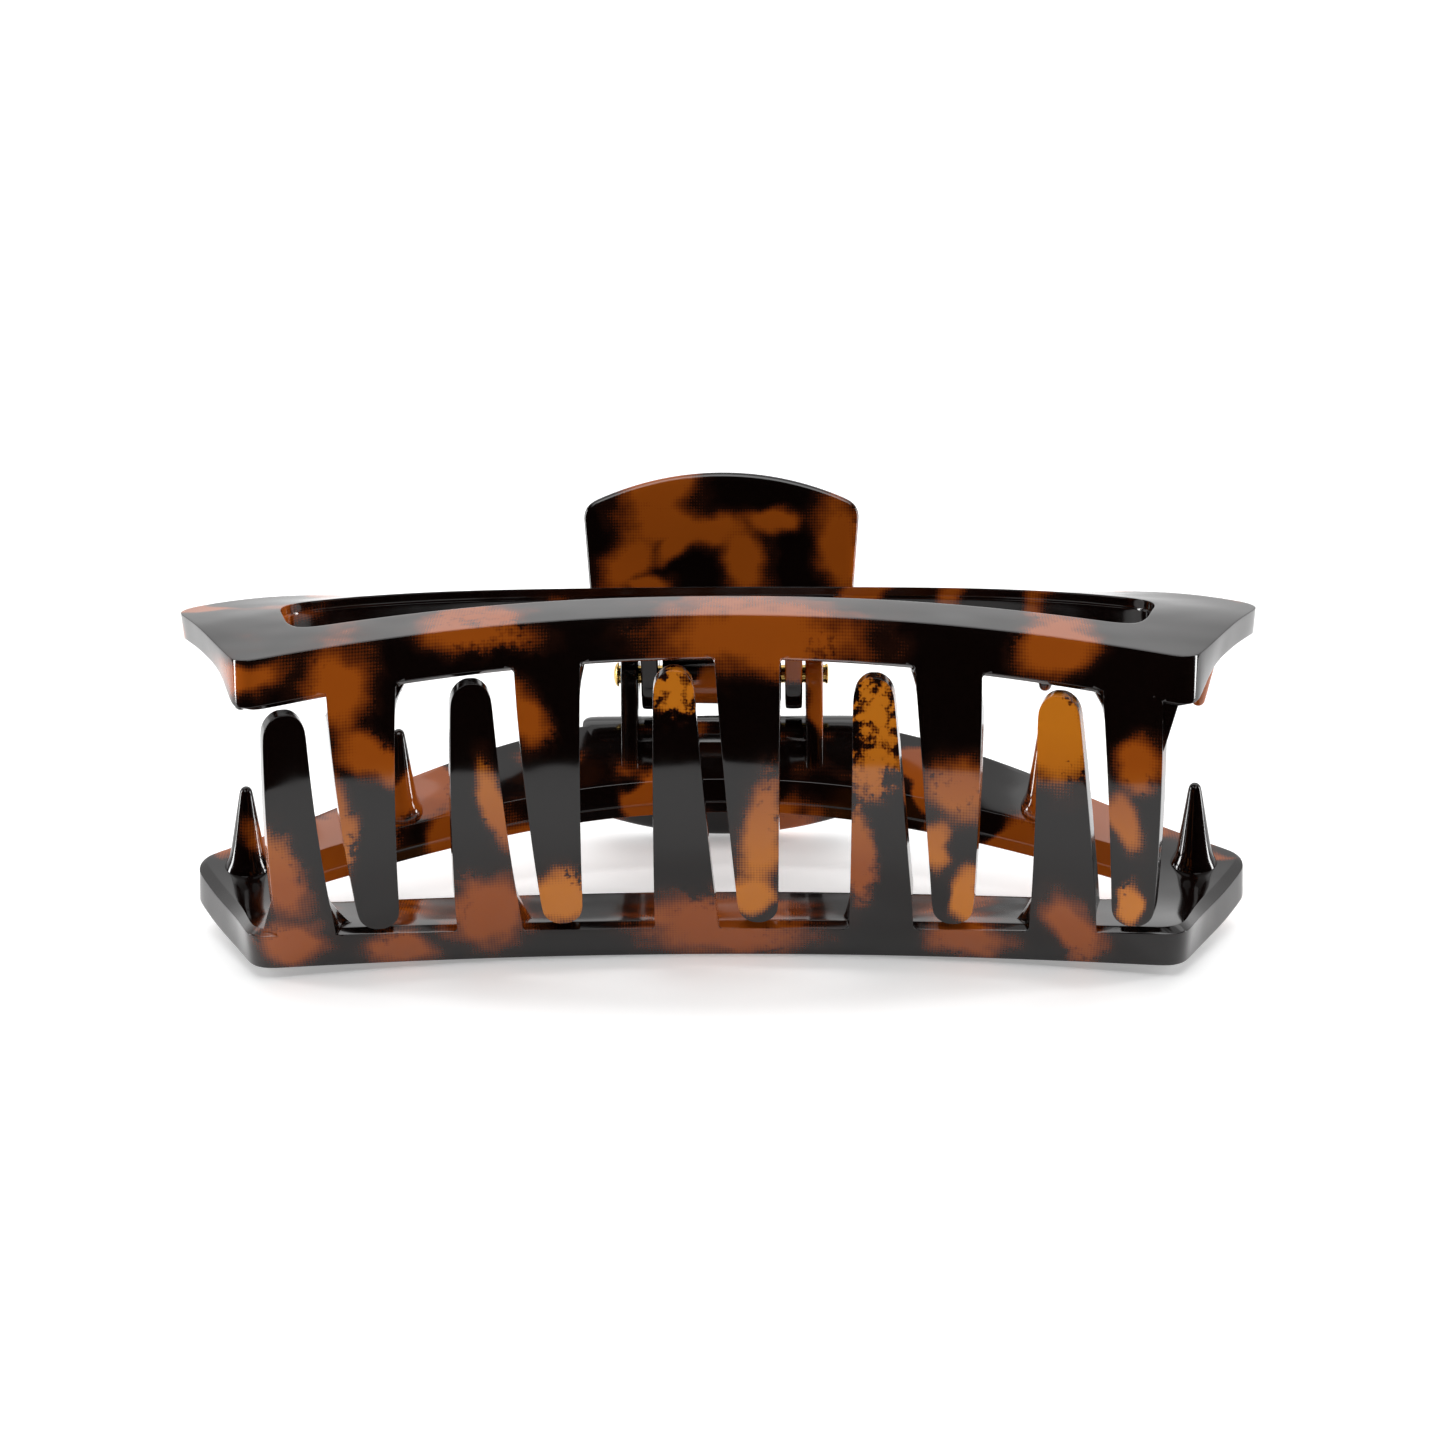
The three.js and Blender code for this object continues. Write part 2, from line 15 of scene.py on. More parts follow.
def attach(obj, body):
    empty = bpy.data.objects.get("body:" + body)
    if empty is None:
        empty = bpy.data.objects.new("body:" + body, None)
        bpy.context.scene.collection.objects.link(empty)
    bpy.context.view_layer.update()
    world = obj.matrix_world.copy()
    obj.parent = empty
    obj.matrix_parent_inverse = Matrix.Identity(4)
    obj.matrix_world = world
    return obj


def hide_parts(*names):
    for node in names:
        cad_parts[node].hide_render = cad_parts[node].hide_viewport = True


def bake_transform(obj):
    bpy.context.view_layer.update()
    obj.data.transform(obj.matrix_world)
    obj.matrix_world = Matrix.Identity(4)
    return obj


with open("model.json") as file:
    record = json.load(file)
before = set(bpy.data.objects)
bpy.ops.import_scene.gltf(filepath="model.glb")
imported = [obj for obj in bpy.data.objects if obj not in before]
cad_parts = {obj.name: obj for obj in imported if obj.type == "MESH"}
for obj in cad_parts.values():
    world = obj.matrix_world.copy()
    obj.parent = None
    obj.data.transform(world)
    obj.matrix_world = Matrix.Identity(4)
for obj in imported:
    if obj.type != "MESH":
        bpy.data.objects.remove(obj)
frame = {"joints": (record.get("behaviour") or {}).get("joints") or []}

LOG = logging.getLogger("claw_clip")
MM = 0.001
Flat = tuple[float, float]
Triple = tuple[float, float, float]
Mesh = bmesh.types.BMesh
Tree = bpy.types.NodeTree
Socket = bpy.types.NodeSocket

# In millimetres. The front faces lie on a cylinder about an axis just ahead of the pin.
FRONT_RADIUS = 34.3
FRONT_AXIS = 5.84
FRONT_BOW = 0.0032
FRONT_TOP = 18.35
END_HALF = 55.5
HANDLE_TIP = (-5.8, 21.6)


# ---- small sums


def lerp(low: float, high: float, share: float) -> float:
    """Returns the value a share of the way from low to high."""
    return low + (high - low) * share


def ease(value: float, low: float, high: float) -> float:
    """Returns 0 below low, 1 above high, and a smooth step between them."""
    share = min(1.0, max(0.0, (value - low) / (high - low)))
    return share * share * (3 - 2 * share)


def round_corner(start: Flat, corner: Flat, end: Flat, steps: int) -> list[Flat]:
    """Rounds a corner.

    Args:
        start: where the rounding leaves the first edge.
        corner: the sharp corner.
        end: where it meets the second edge.
        steps: how many steps it takes.

    Returns:
        The points between start and end, without those two.
    """
    points = []
    for i in range(1, steps):
        t = i / steps
        points.append(tuple((1 - t) ** 2 * a + 2 * t * (1 - t) * b + t * t * c
                            for a, b, c in zip(start, corner, end)))
    return points


# ---- the clip's own frame


class Half(Enum):
    """The two jaws; the value is the jaw's CAD node."""

    UPPER = "upper_jaw"
    LOWER = "lower_jaw"

    @property
    def body(self) -> str:
        """The body that this jaw moves with."""
        return "upper_half" if self is Half.UPPER else "lower_half"

    @property
    def sign(self) -> int:
        """The lower jaw is the upper one turned half a turn about the front-to-back axis."""
        return 1 if self is Half.UPPER else -1


@dataclass(frozen=True)
class ClipFrame:
    """Where a point of the clip lies on the table.

    x runs along the pin, f forward from the pin to the teeth, and z up from the plane between
    the jaws, all in millimetres. The clip is tipped forward by the tilt.
    """

    pin: Vector
    tilt: float

    def spot(self, x: float, f: float, z: float, half: Half = Half.UPPER) -> Vector:
        """Places a point.

        Args:
            x: along the pin.
            f: forward.
            z: up.
            half: the jaw in whose frame the point is given.

        Returns:
            The point on the table, in metres.
        """
        x, z = x * half.sign, z * half.sign
        cos, sin = math.cos(self.tilt), math.sin(self.tilt)
        return self.pin + Vector((x, -f * cos - z * sin, z * cos - f * sin)) * MM


# ---- mesh work


class Shell:
    """One closed shell on its way to becoming part of a piece."""

    def __init__(self) -> None:
        """Starts with an empty mesh and two layers that remember where a point belongs."""
        self.bm = bmesh.new()
        self.u = self.bm.verts.layers.float.new("u")
        self.v = self.bm.verts.layers.float.new("v")

    def grid(self, columns: int, rows: int) -> None:
        """Lays a flat grid whose points know their column and row.

        Args:
            columns: steps along the first way.
            rows: steps along the second.
        """
        bmesh.ops.create_grid(self.bm, x_segments=columns, y_segments=rows, size=1)
        for vert in self.bm.verts:
            vert[self.u] = round((vert.co.x + 1) / 2 * columns)
            vert[self.v] = round((vert.co.y + 1) / 2 * rows)

    def shape(self, where: Callable[[float, float], Vector], verts: list | None = None) -> None:
        """Moves points to where their column and row say.

        Args:
            where: gives the place of a column and row.
            verts: the points, or all of them.
        """
        for vert in verts if verts is not None else self.bm.verts:
            vert.co = where(vert[self.u], vert[self.v])

    def weld(self, distance: float = 1e-6) -> None:
        """Merges points that lie on each other, such as the two ends of a ring."""
        bmesh.ops.remove_doubles(self.bm, verts=self.bm.verts[:], dist=distance)

    def turn(self, points: list[Flat], lay: Callable[[float, float], Triple], axis: Triple,
             steps: int) -> None:
        """Turns a profile once round an axis.

        Args:
            points: the profile, from one end of the axis to the other.
            lay: turns a point of the profile into x, y and z.
            axis: the axis, through the origin.
            steps: steps round it.
        """
        ring = [self.bm.verts.new(lay(*point)) for point in points]
        line = [self.bm.edges.new(pair) for pair in zip(ring, ring[1:])]
        bmesh.ops.spin(self.bm, geom=ring + line, cent=(0, 0, 0), axis=axis, angle=2 * math.pi,
                       steps=steps, use_merge=True)
        self.weld(1e-4)

    def settle(self, place: ClipFrame) -> Mesh:
        """Moves the shell from the clip's frame to the table and returns it as a mesh."""
        for vert in self.bm.verts:
            vert.co = place.spot(*vert.co)
        mesh = bmesh.new()
        self.finish(mesh)
        return mesh

    def pull(self, faces: list, closed: bool = False) -> list:
        """Extrudes a patch of faces.

        Args:
            faces: the patch.
            closed: whether it is part of a closed shell, so that its old faces go.

        Returns:
            The patch at its new place.
        """
        grown = bmesh.ops.extrude_face_region(self.bm, geom=faces)["geom"]
        if closed:
            bmesh.ops.delete(self.bm, geom=faces, context="FACES")
        return [g for g in grown if isinstance(g, bmesh.types.BMFace)]

    def close(self) -> None:
        """Fills open ends and turns every face outwards."""
        open_edges = [e for e in self.bm.edges if e.is_boundary]
        if open_edges:
            bmesh.ops.holes_fill(self.bm, edges=open_edges, sides=0)
        bmesh.ops.recalc_face_normals(self.bm, faces=self.bm.faces[:])

    def soften(self, offset: float, sharper_than: float = 27.0, segments: int = 2,
               among: Callable[[bmesh.types.BMEdge], bool] = lambda edge: True) -> None:
        """Rounds sharp edges.

        Args:
            offset: how far the rounding reaches from the edge, in millimetres.
            sharper_than: the least turn over an edge that is rounded, in degrees.
            segments: steps round the edge.
            among: says whether an edge may be rounded.
        """
        limit = math.radians(sharper_than)
        edges = [e for e in self.bm.edges
                 if e.is_manifold and e.calc_face_angle(0.0) > limit and among(e)]
        bmesh.ops.bevel(self.bm, geom=edges, offset=offset * MM, offset_type="OFFSET",
                        affect="EDGES", segments=segments, profile=0.5, material=-1,
                        clamp_overlap=True)

    def finish(self, into: Mesh) -> None:
        """Closes the shell and adds it to a piece's mesh."""
        self.close()
        mesh = bpy.data.meshes.new("shell")
        self.bm.to_mesh(mesh)
        into.from_mesh(mesh)
        bpy.data.meshes.remove(mesh)
        self.bm.free()


def make_piece(name: str, bm: Mesh, levels: int = 0) -> bpy.types.Object:
    """Makes a smooth-shaded object of a mesh.

    Args:
        name: the piece's name.
        bm: its mesh, in metres, in place. It is freed.
        levels: levels of subdivision.

    Returns:
        The new object.
    """
    mesh = bpy.data.meshes.new(name)
    bm.to_mesh(mesh)
    bm.free()
    for polygon in mesh.polygons:
        polygon.use_smooth = True
    piece = bpy.data.objects.new(name, mesh)
    bpy.context.scene.collection.objects.link(piece)
    if levels:
        rounder = piece.modifiers.new("Rounder", "SUBSURF")
        rounder.levels = rounder.render_levels = levels
    return piece


# ---- the bowed plate


@dataclass(frozen=True)
class RearLine:
    """A long edge at the rear, bowed in plan and climbing towards the ends."""

    at: float
    bow: float
    height: float
    crown: float
    ease: float

    def f(self, x: float) -> float:
        """Returns how far forward the edge lies."""
        return self.at + self.bow * x * x

    def z(self, x: float) -> float:
        """Returns the edge's height."""
        way = min(1.0, abs(x) / END_HALF) ** self.ease
        return self.height + self.crown * math.sin(math.pi / 2 * way) ** 2


@dataclass(frozen=True)
class Tooth:
    """One tooth: its slanted and its straight edge at the root, its tip and how far it reaches."""

    slanted: float
    straight: float
    tip: float
    reach: float


@dataclass(frozen=True)
class Plate:
    """The bowed frame round a jaw's window, with its teeth, in millimetres."""

    half: Half
    place: ClipFrame
    teeth: tuple[Tooth, ...]
    rear: RearLine = RearLine(0.6, 0.0078, 8.4, 7.3, 1.35)
    window_rear: RearLine = RearLine(8.85, 0.0073, 12.95, 3.3, 1.1)
    end_half: float = END_HALF
    front_half: float = 46.5
    window_rear_half: float = 45.2
    window_front_half: float = 42.4
    window_front_at: float = 28.1
    window_front_bow: float = 0.0034
    top_fall: float = 0.00095
    lip_at: float = 14.0
    lip_fall: float = 0.0012
    outer_run: float = 2.1
    window_run: float = 3.2
    wall_drop: float = 3.5
    wall_lean: float = 1.1
    chamfer_drop: float = 0.6
    chamfer_inset: float = 1.0
    tip_width: float = 4.1
    root_thickness: float = 2.8
    tip_thickness: float = 1.9
    tip_clearance: float = 0.12
    root_rise: float = 1.6
    first_row: float = 0.9
    parting_ridge: float = 0.22
    edge_radius: float = 0.34

    def window_front(self, x: float) -> float:
        """Returns how far forward the window's front edge lies."""
        return self.window_front_at + self.window_front_bow * x * x

    def top(self, x: float) -> float:
        """Returns the height of the front bar's outer edge."""
        return FRONT_TOP - self.top_fall * x * x

    def lip(self, x: float) -> float:
        """Returns the height of the front bar's inner face."""
        return self.lip_at - self.lip_fall * x * x

    def face(self, x: float, z: float) -> float:
        """Returns how far forward the cylinder of the front faces lies."""
        return FRONT_AXIS + FRONT_BOW * x * x + math.sqrt(FRONT_RADIUS ** 2 - z * z)

    def height(self, x: float, f: float) -> float:
        """Works out the outer face's height: straight over the rear bar, then easing level.

        Args:
            x: along the pin.
            f: forward.

        Returns:
            The height.
        """
        rear_f, crest_f = self.rear.f(x), self.window_rear.f(x)
        crest_z = self.window_rear.z(x)
        slope = (crest_z - self.rear.z(x)) / (crest_f - rear_f)
        if f <= crest_f:
            return crest_z + slope * (f - crest_f)
        front_z = self.top(x)
        run = self.face(x, front_z) - crest_f
        t = min(1.0, (f - crest_f) / run)
        start = 2 * t ** 3 - 3 * t * t + 1
        return start * crest_z + (t ** 3 - 2 * t * t + t) * run * slope + (1 - start) * front_z

    def to_front(self, x: float, f: float) -> float:
        """Returns 0 at the window's front edge and 1 at the bar's front edge."""
        return ease(f, self.window_front(x), self.face(x, self.top(x)))

    def inside(self, x: float, f: float, depth: float) -> Triple:
        """Finds a point of the plate.

        Args:
            x: along the pin.
            f: forward, on the outer face.
            depth: 0 on the outer face and 1 on the inner one.

        Returns:
            x, f and z of the point.
        """
        top, toward = self.top(x), self.to_front(x, f)
        full = top - self.lip(x)
        shift = self.face(x, top - depth * full) - self.face(x, top)
        drop = lerp(self.wall_drop, full, toward)
        lean = lerp(-self.wall_lean * depth, shift, toward)
        return x, f + lean, self.height(x, f) - depth * drop

    def tooth_rows(self, tooth: Tooth) -> list[Triple]:
        """Works out the rows of a tooth, from just under the lip to the tip.

        Args:
            tooth: the tooth.

        Returns:
            For each row its height and the x of its slanted and straight edges.
        """
        side = math.copysign(1, tooth.straight - tooth.slanted)
        root = self.lip((tooth.slanted + tooth.straight) / 2) + self.root_rise
        radius = self.tip_width / 2
        end = radius - tooth.reach + self.tip_clearance
        slanted_tip = tooth.tip - side * self.tip_width
        rows = []
        for i in range(13):
            t = i / 12
            rows.append((lerp(root, end, t), lerp(tooth.slanted, slanted_tip, t),
                         lerp(tooth.straight, tooth.tip, t)))
        middle = (tooth.tip + slanted_tip) / 2
        for degrees in (22, 43, 62, 77):
            half = radius * math.cos(math.radians(degrees)) * side
            rows.append((end - radius * math.sin(math.radians(degrees)), middle - half,
                         middle + half))
        return rows

    def at_lip(self, tooth: Tooth) -> Flat:
        """Returns the x of a tooth's two edges where it leaves the lip."""
        rows = self.tooth_rows(tooth)
        (high, a, b), (low, c, d) = rows[0], rows[12]
        t = (high - self.lip((a + b) / 2)) / (high - low)
        return lerp(a, c, t), lerp(b, d, t)

    def front_shares(self) -> list[float]:
        """Lays the front stations so that every tooth has one at each of its edges.

        Returns:
            The stations from the right to the left, as shares of the front's straight half.
        """
        half = self.front_half - self.outer_run
        marks = [-half, *(x for tooth in self.teeth for x in sorted(self.at_lip(tooth))), half]
        shares = []
        for low, high in zip(marks, marks[1:]):
            steps = max(1, round((high - low) / 2.3))
            shares += [lerp(low, high, i / steps) / half for i in range(steps)]
        return [*reversed([*shares, 1.0])]

    def loop(self, rear: Callable, front: Callable, rear_half: float, front_half: float,
             run: float) -> list[Flat]:
        """Lays out one outline of the frame.

        Args:
            rear: the rear edge's f at an x.
            front: the front edge's f at an x.
            rear_half: half the width at the rear corners.
            front_half: half the width at the front corners.
            run: length of edge that a rounded corner takes up.

        Returns:
            The stations once round; station i faces station i of the other outline.
        """
        back, fore = (rear_half, rear(rear_half)), (front_half, front(front_half))
        cut = run / math.dist(back, fore)

        def on_end(t: float) -> Flat:
            """Returns a point on the straight end."""
            return lerp(back[0], fore[0], t), lerp(back[1], fore[1], t)

        flat_rear, flat_front = rear_half - run, front_half - run
        side = [*round_corner((flat_rear, rear(flat_rear)), back, on_end(cut), 4),
                *(on_end(lerp(cut, 1 - cut, i / 6)) for i in range(7)),
                *round_corner(on_end(1 - cut), fore, (flat_front, front(flat_front)), 4)]
        along = [lerp(-flat_rear, flat_rear, i / 34) for i in range(35)]
        fronts = [s * flat_front for s in self.front_shares()]
        return [*((x, rear(x)) for x in along), *side, *((x, front(x)) for x in fronts),
                *((-x, f) for x, f in reversed(side))]

    def section(self, out: Flat, window: Flat) -> list[Triple]:
        """Works out the closed section of the frame at one station.

        Args:
            out: the station on the outside outline.
            window: the one that faces it on the window's.

        Returns:
            The section's points as x, f and z, from the outer edge over the outer face, down
            the window's wall, back under the inner face and up the outside wall.
        """
        def at(t: float, depth: float, ridge: float = 0.0) -> Triple:
            """Finds a point of the section.

            Args:
                t: 0 at the outside and 1 at the window.
                depth: 0 on the outer face and 1 on the inner one.
                ridge: how far it stands into the window.

            Returns:
                x, f and z of the point.
            """
            x, f, z = self.inside(lerp(out[0], window[0], t), lerp(out[1], window[1], t), depth)
            if ridge:
                away = Vector((window[0] - out[0], window[1] - out[1])).normalized() * ridge
                x, f = x + away.x, f + away.y
            return x, f, z

        width = math.dist(out, window)
        share = lerp(0.15, 1, ease(out[1] - self.rear.f(out[0]), 0, 2))
        drop = lerp(self.wall_drop, self.top(out[0]) - self.lip(out[0]), self.to_front(*out))
        wall = 1 - share * self.chamfer_drop / drop
        inset = share * self.chamfer_inset / width
        behind = 0.42
        if out[1] > 30 and abs(out[0]) < self.front_half:
            low, high = inset, 0.9
            goal = self.face(out[0], self.lip(out[0])) - self.root_thickness
            for _ in range(24):
                behind = (low + high) / 2
                if at(behind, 1)[1] > goal:
                    low = behind
                else:
                    high = behind
        ridge = self.parting_ridge * (1 - self.to_front(*window))
        return [at(0, 0), at(0.25, 0), at(0.5, 0), at(0.75, 0), at(1, 0), at(1, 0.31),
                at(1, 0.37, ridge), at(1, 0.68, ridge * 0.4), at(1, 1),
                at(lerp(behind, 1, 0.5), 1), at(behind, 1), at(inset, 1), at(0, wall),
                at(0, wall * 0.5)]

    def build(self, into: Mesh) -> None:
        """Builds the frame and grows its teeth out of the lip.

        Args:
            into: the jaw's mesh.
        """
        outside = self.loop(self.rear.f, lambda x: self.face(x, self.top(x)), self.end_half,
                            self.front_half, self.outer_run)
        window = self.loop(self.window_rear.f, self.window_front, self.window_rear_half,
                           self.window_front_half, self.window_run)
        sections = [self.section(o, w) for o, w in zip(outside, window)]
        count, around = len(sections), len(sections[0])
        shell = Shell()
        shell.grid(count, around)
        shell.shape(lambda u, v: self.place.spot(
            *sections[int(u) % count][int(v) % around], self.half))
        for vert in shell.bm.verts:
            vert[shell.u] %= count
            vert[shell.v] %= around
        shell.weld()
        for tooth in self.teeth:
            self.grow(shell, tooth, sections)
        bmesh.ops.recalc_face_normals(shell.bm, faces=shell.bm.faces[:])
        shell.soften(self.edge_radius)
        shell.finish(into)

    def grow(self, shell: Shell, tooth: Tooth, sections: list) -> None:
        """Grows one tooth.

        Args:
            shell: the frame's shell.
            tooth: the tooth.
            sections: the frame's sections, whose front stations lie on the tooth's edges.
        """
        low, high = sorted(self.at_lip(tooth))
        slanted, straight = self.at_lip(tooth)
        near = 0.05

        def belongs(face: bmesh.types.BMFace) -> bool:
            """Tells the faces of the lip that lie under the tooth.

            Args:
                face: a face of the frame.

            Returns:
                Whether it lies there.
            """
            rows = {int(v[shell.v]) for v in face.verts}
            if not rows <= {10, 11, 12}:
                return False
            xs = [sections[int(v[shell.u])][0][0] for v in face.verts]
            fs = [sections[int(v[shell.u])][0][1] for v in face.verts]
            return min(fs) > 30 and min(xs) > low - near and max(xs) < high + near

        patch = [face for face in shell.bm.faces if belongs(face)]
        across = {12: 0.0, 11: 0.45, 10: 1.0}
        rows = self.tooth_rows(tooth)
        root, reach = rows[0][0], rows[-1][0]
        for z, a, b in rows:
            if z > self.lip((a + b) / 2) - self.first_row:
                continue
            patch = shell.pull(patch, closed=True)
            thick = lerp(self.root_thickness, self.tip_thickness, (root - z) / (root - reach))
            for vert in {v for face in patch for v in face.verts}:
                start = sections[int(vert[shell.u])][0][0]
                back = thick * across[int(vert[shell.v])]
                x = lerp(a, b, (start - slanted) / (straight - slanted))
                f = self.face(x, z) - back
                vert.co = self.place.spot(x * (1 + 2 * FRONT_BOW * back), f, z, self.half)


# ---- gusset and spikes


@dataclass(frozen=True)
class Gusset:
    """The rib in the corner between the last tooth and the lip."""

    plate: Plate
    width: float = 1.8
    height: float = 4.6
    thickness: float = 1.6
    sink: float = 1.0
    chamfer: float = 0.8
    set_back: float = 0.5

    def build(self, into: Mesh) -> None:
        """Builds the rib as a block whose foot is drawn to the tooth.

        Args:
            into: the jaw's mesh.
        """
        edge = self.plate.teeth[-1].straight
        top = self.plate.lip(edge) + self.sink - self.chamfer
        shell = Shell()
        bmesh.ops.create_cube(shell.bm, size=2)
        for vert in shell.bm.verts:
            out, deep, up = (c > 0 for c in vert.co)
            z = top if up else top - self.height
            reach = self.width if up else 0.1
            back = self.plate.face(edge, z) - self.set_back - (self.thickness if deep else 0)
            vert.co = self.plate.place.spot(edge + reach if out else edge - 1, back,
                                            z + up * self.chamfer, self.plate.half)
        shell.close()
        shell.soften(0.12)
        shell.finish(into)


@dataclass(frozen=True)
class Spike:
    """A cone on the plate's inner face that grips the hair."""

    plate: Plate
    x: float
    f: float
    tip: float
    lean: float
    tip_radius: float = 0.72
    root_radius: float = 1.75
    foot_radius: float = 2.6

    def build(self, into: Mesh) -> None:
        """Builds the cone by turning its profile, with a fillet at the foot, then leaning it.

        Args:
            into: the jaw's mesh.
        """
        seat = self.plate.height(self.x, self.f + self.lean) - self.plate.wall_drop
        shell = Shell()
        profile = [(0.0, self.tip), (self.tip_radius * 0.5, self.tip + self.tip_radius * 0.13),
                   (self.tip_radius * 0.87, self.tip + self.tip_radius * 0.5),
                   (self.tip_radius, self.tip + self.tip_radius)]
        profile += [(lerp(self.tip_radius, self.root_radius, t),
                     lerp(self.tip + self.tip_radius, seat - 1.6, t)) for t in (0.35, 0.7, 1.0)]
        profile += [(self.root_radius + 0.22, seat - 0.7), (self.foot_radius, seat + 0.05),
                    (self.foot_radius, seat + 1.4), (0.0, seat + 1.4)]
        shell.turn(profile, lambda r, z: (r, 0, z), (0, 0, 1), 20)
        for vert in shell.bm.verts:
            x, f, z = vert.co
            f += self.f + self.lean * (z - self.tip) / (seat - self.tip)
            vert.co = self.plate.place.spot(x + self.x, f, z, self.plate.half)
        shell.finish(into)


# ---- handle, lugs and shroud


@dataclass(frozen=True)
class Handle:
    """The thumb plate and the waist that carries it, in millimetres."""

    plate: Plate
    slope: float = math.radians(66.5)
    tip_f: float = HANDLE_TIP[0]
    tip_z: float = HANDLE_TIP[1]
    thickness: float = 2.8
    tip_half: float = 15.25
    waist_half: float = 14.3
    arch: float = 3.7
    corner_radius: float = 1.25
    crease_run: float = 1.3
    waist_floor: float = 5.1
    flare_half: float = 15.9
    flare_foot: float = 4.0
    flare_run: float = 2.6
    inner_foot: float = 7.4
    join_run: float = 4.6
    rim_radius: float = 0.62

    def on_face(self, out: float, up: float) -> Flat:
        """Returns f and z of a point a distance out from the pin and a length up the handle."""
        cos, sin = math.cos(self.slope), math.sin(self.slope)
        return out * sin - up * cos, out * cos + up * sin

    def up_of(self, f: float, z: float) -> float:
        """Returns how far up the handle a point lies."""
        return z * math.sin(self.slope) - f * math.cos(self.slope)

    def half_width(self, up: float) -> float:
        """Works out half the width of the handle and the waist.

        Args:
            up: the length up the handle.

        Returns:
            Half the width there.
        """
        flare_top = self.flare_foot + self.flare_run
        if up < flare_top:
            return lerp(self.flare_half, self.waist_half, ease(up, self.flare_foot, flare_top))
        corner = self.up_of(self.tip_f, self.tip_z) - self.arch
        return lerp(self.waist_half, self.tip_half,
                    min(1.0, (up - flare_top) / (corner - flare_top)))

    def arch_at(self, x: float) -> float:
        """Returns how far up the arched tip reaches at an x."""
        radius = (self.tip_half ** 2 + self.arch ** 2) / (2 * self.arch)
        return self.up_of(self.tip_f, self.tip_z) - radius + math.sqrt(radius ** 2 - x * x)

    def path(self, x: float) -> list[tuple[Flat, Flat]]:
        """Follows the handle from its tip into the plate.

        Args:
            x: along the pin.

        Returns:
            Pairs of points in f and z, one on the outer face and one facing it on the inner.
        """
        out = self.tip_f * math.sin(self.slope) + self.tip_z * math.cos(self.slope)
        inner = out - self.thickness
        sink = 0.05

        def roof(f: float) -> float:
            """Returns a height just under the plate's outer face."""
            return self.plate.height(x, f) - sink

        climb = roof(1) - roof(0)
        crease_f = (out - math.cos(self.slope) * roof(0)) / (
            math.sin(self.slope) + math.cos(self.slope) * climb)
        crease = (crease_f, roof(crease_f))
        start = self.on_face(out, self.up_of(*crease) + self.crease_run)
        ahead = crease_f + self.crease_run
        bend = [start, *round_corner(start, crease, (ahead, roof(ahead)), 5), (ahead, roof(ahead))]
        rear = self.plate.rear.f(x) + self.join_run
        tip = self.arch_at(x)
        pairs = []
        for k in range(7):
            up = lerp(tip, self.up_of(*start), k / 7)
            down = lerp(tip, self.inner_foot, k / 7)
            pairs.append((self.on_face(out, up), self.on_face(inner, down)))
        under = [self.on_face(inner, self.inner_foot), self.on_face(inner, self.inner_foot - 0.8),
                 (-1.3, self.waist_floor + 0.2),
                 (-0.5, self.waist_floor), (0.5, self.waist_floor + 0.03),
                 (1.3, self.waist_floor + 0.25)]
        pairs += zip(bend, under)
        pairs.append(((rear, roof(rear)), (rear - self.plate.wall_lean,
                                          roof(rear) - self.plate.wall_drop + 0.1)))
        return pairs

    def build(self, into: Mesh) -> None:
        """Builds the handle as a curved sheet that is given its thickness, and rounds its rim.

        Args:
            into: the jaw's mesh.
        """
        columns = 14
        rows = len(self.path(0)) - 1
        shell = Shell()
        shell.grid(columns, rows)

        def where(side: int) -> Callable[[float, float], Vector]:
            """Makes the placing rule of one face.

            Args:
                side: 0 for the outer face and 1 for the inner one.

            Returns:
                The rule.
            """
            def rule(u: float, v: float) -> Vector:
                """Places a point.

                Args:
                    u: its column.
                    v: its row.

                Returns:
                    Its place on the table.
                """
                share = 2 * u / columns - 1
                f, z = self.path(share * self.tip_half)[int(v)][side]
                x = share * self.half_width(self.up_of(f, z))
                return self.plate.place.spot(x, f, z, self.plate.half)
            return rule

        shell.shape(where(0))
        back = shell.pull(shell.bm.faces[:])
        shell.shape(where(1), [*{v for face in back for v in face.verts}])
        shell.close()

        def is_corner(edge: bmesh.types.BMEdge) -> bool:
            """Says whether an edge crosses the rim at a corner of the tip."""
            return all(v[shell.v] == 0 and v[shell.u] in (0, columns) for v in edge.verts)

        shell.soften(self.corner_radius, segments=3, among=is_corner)
        shell.soften(self.rim_radius, sharper_than=40)
        shell.finish(into)


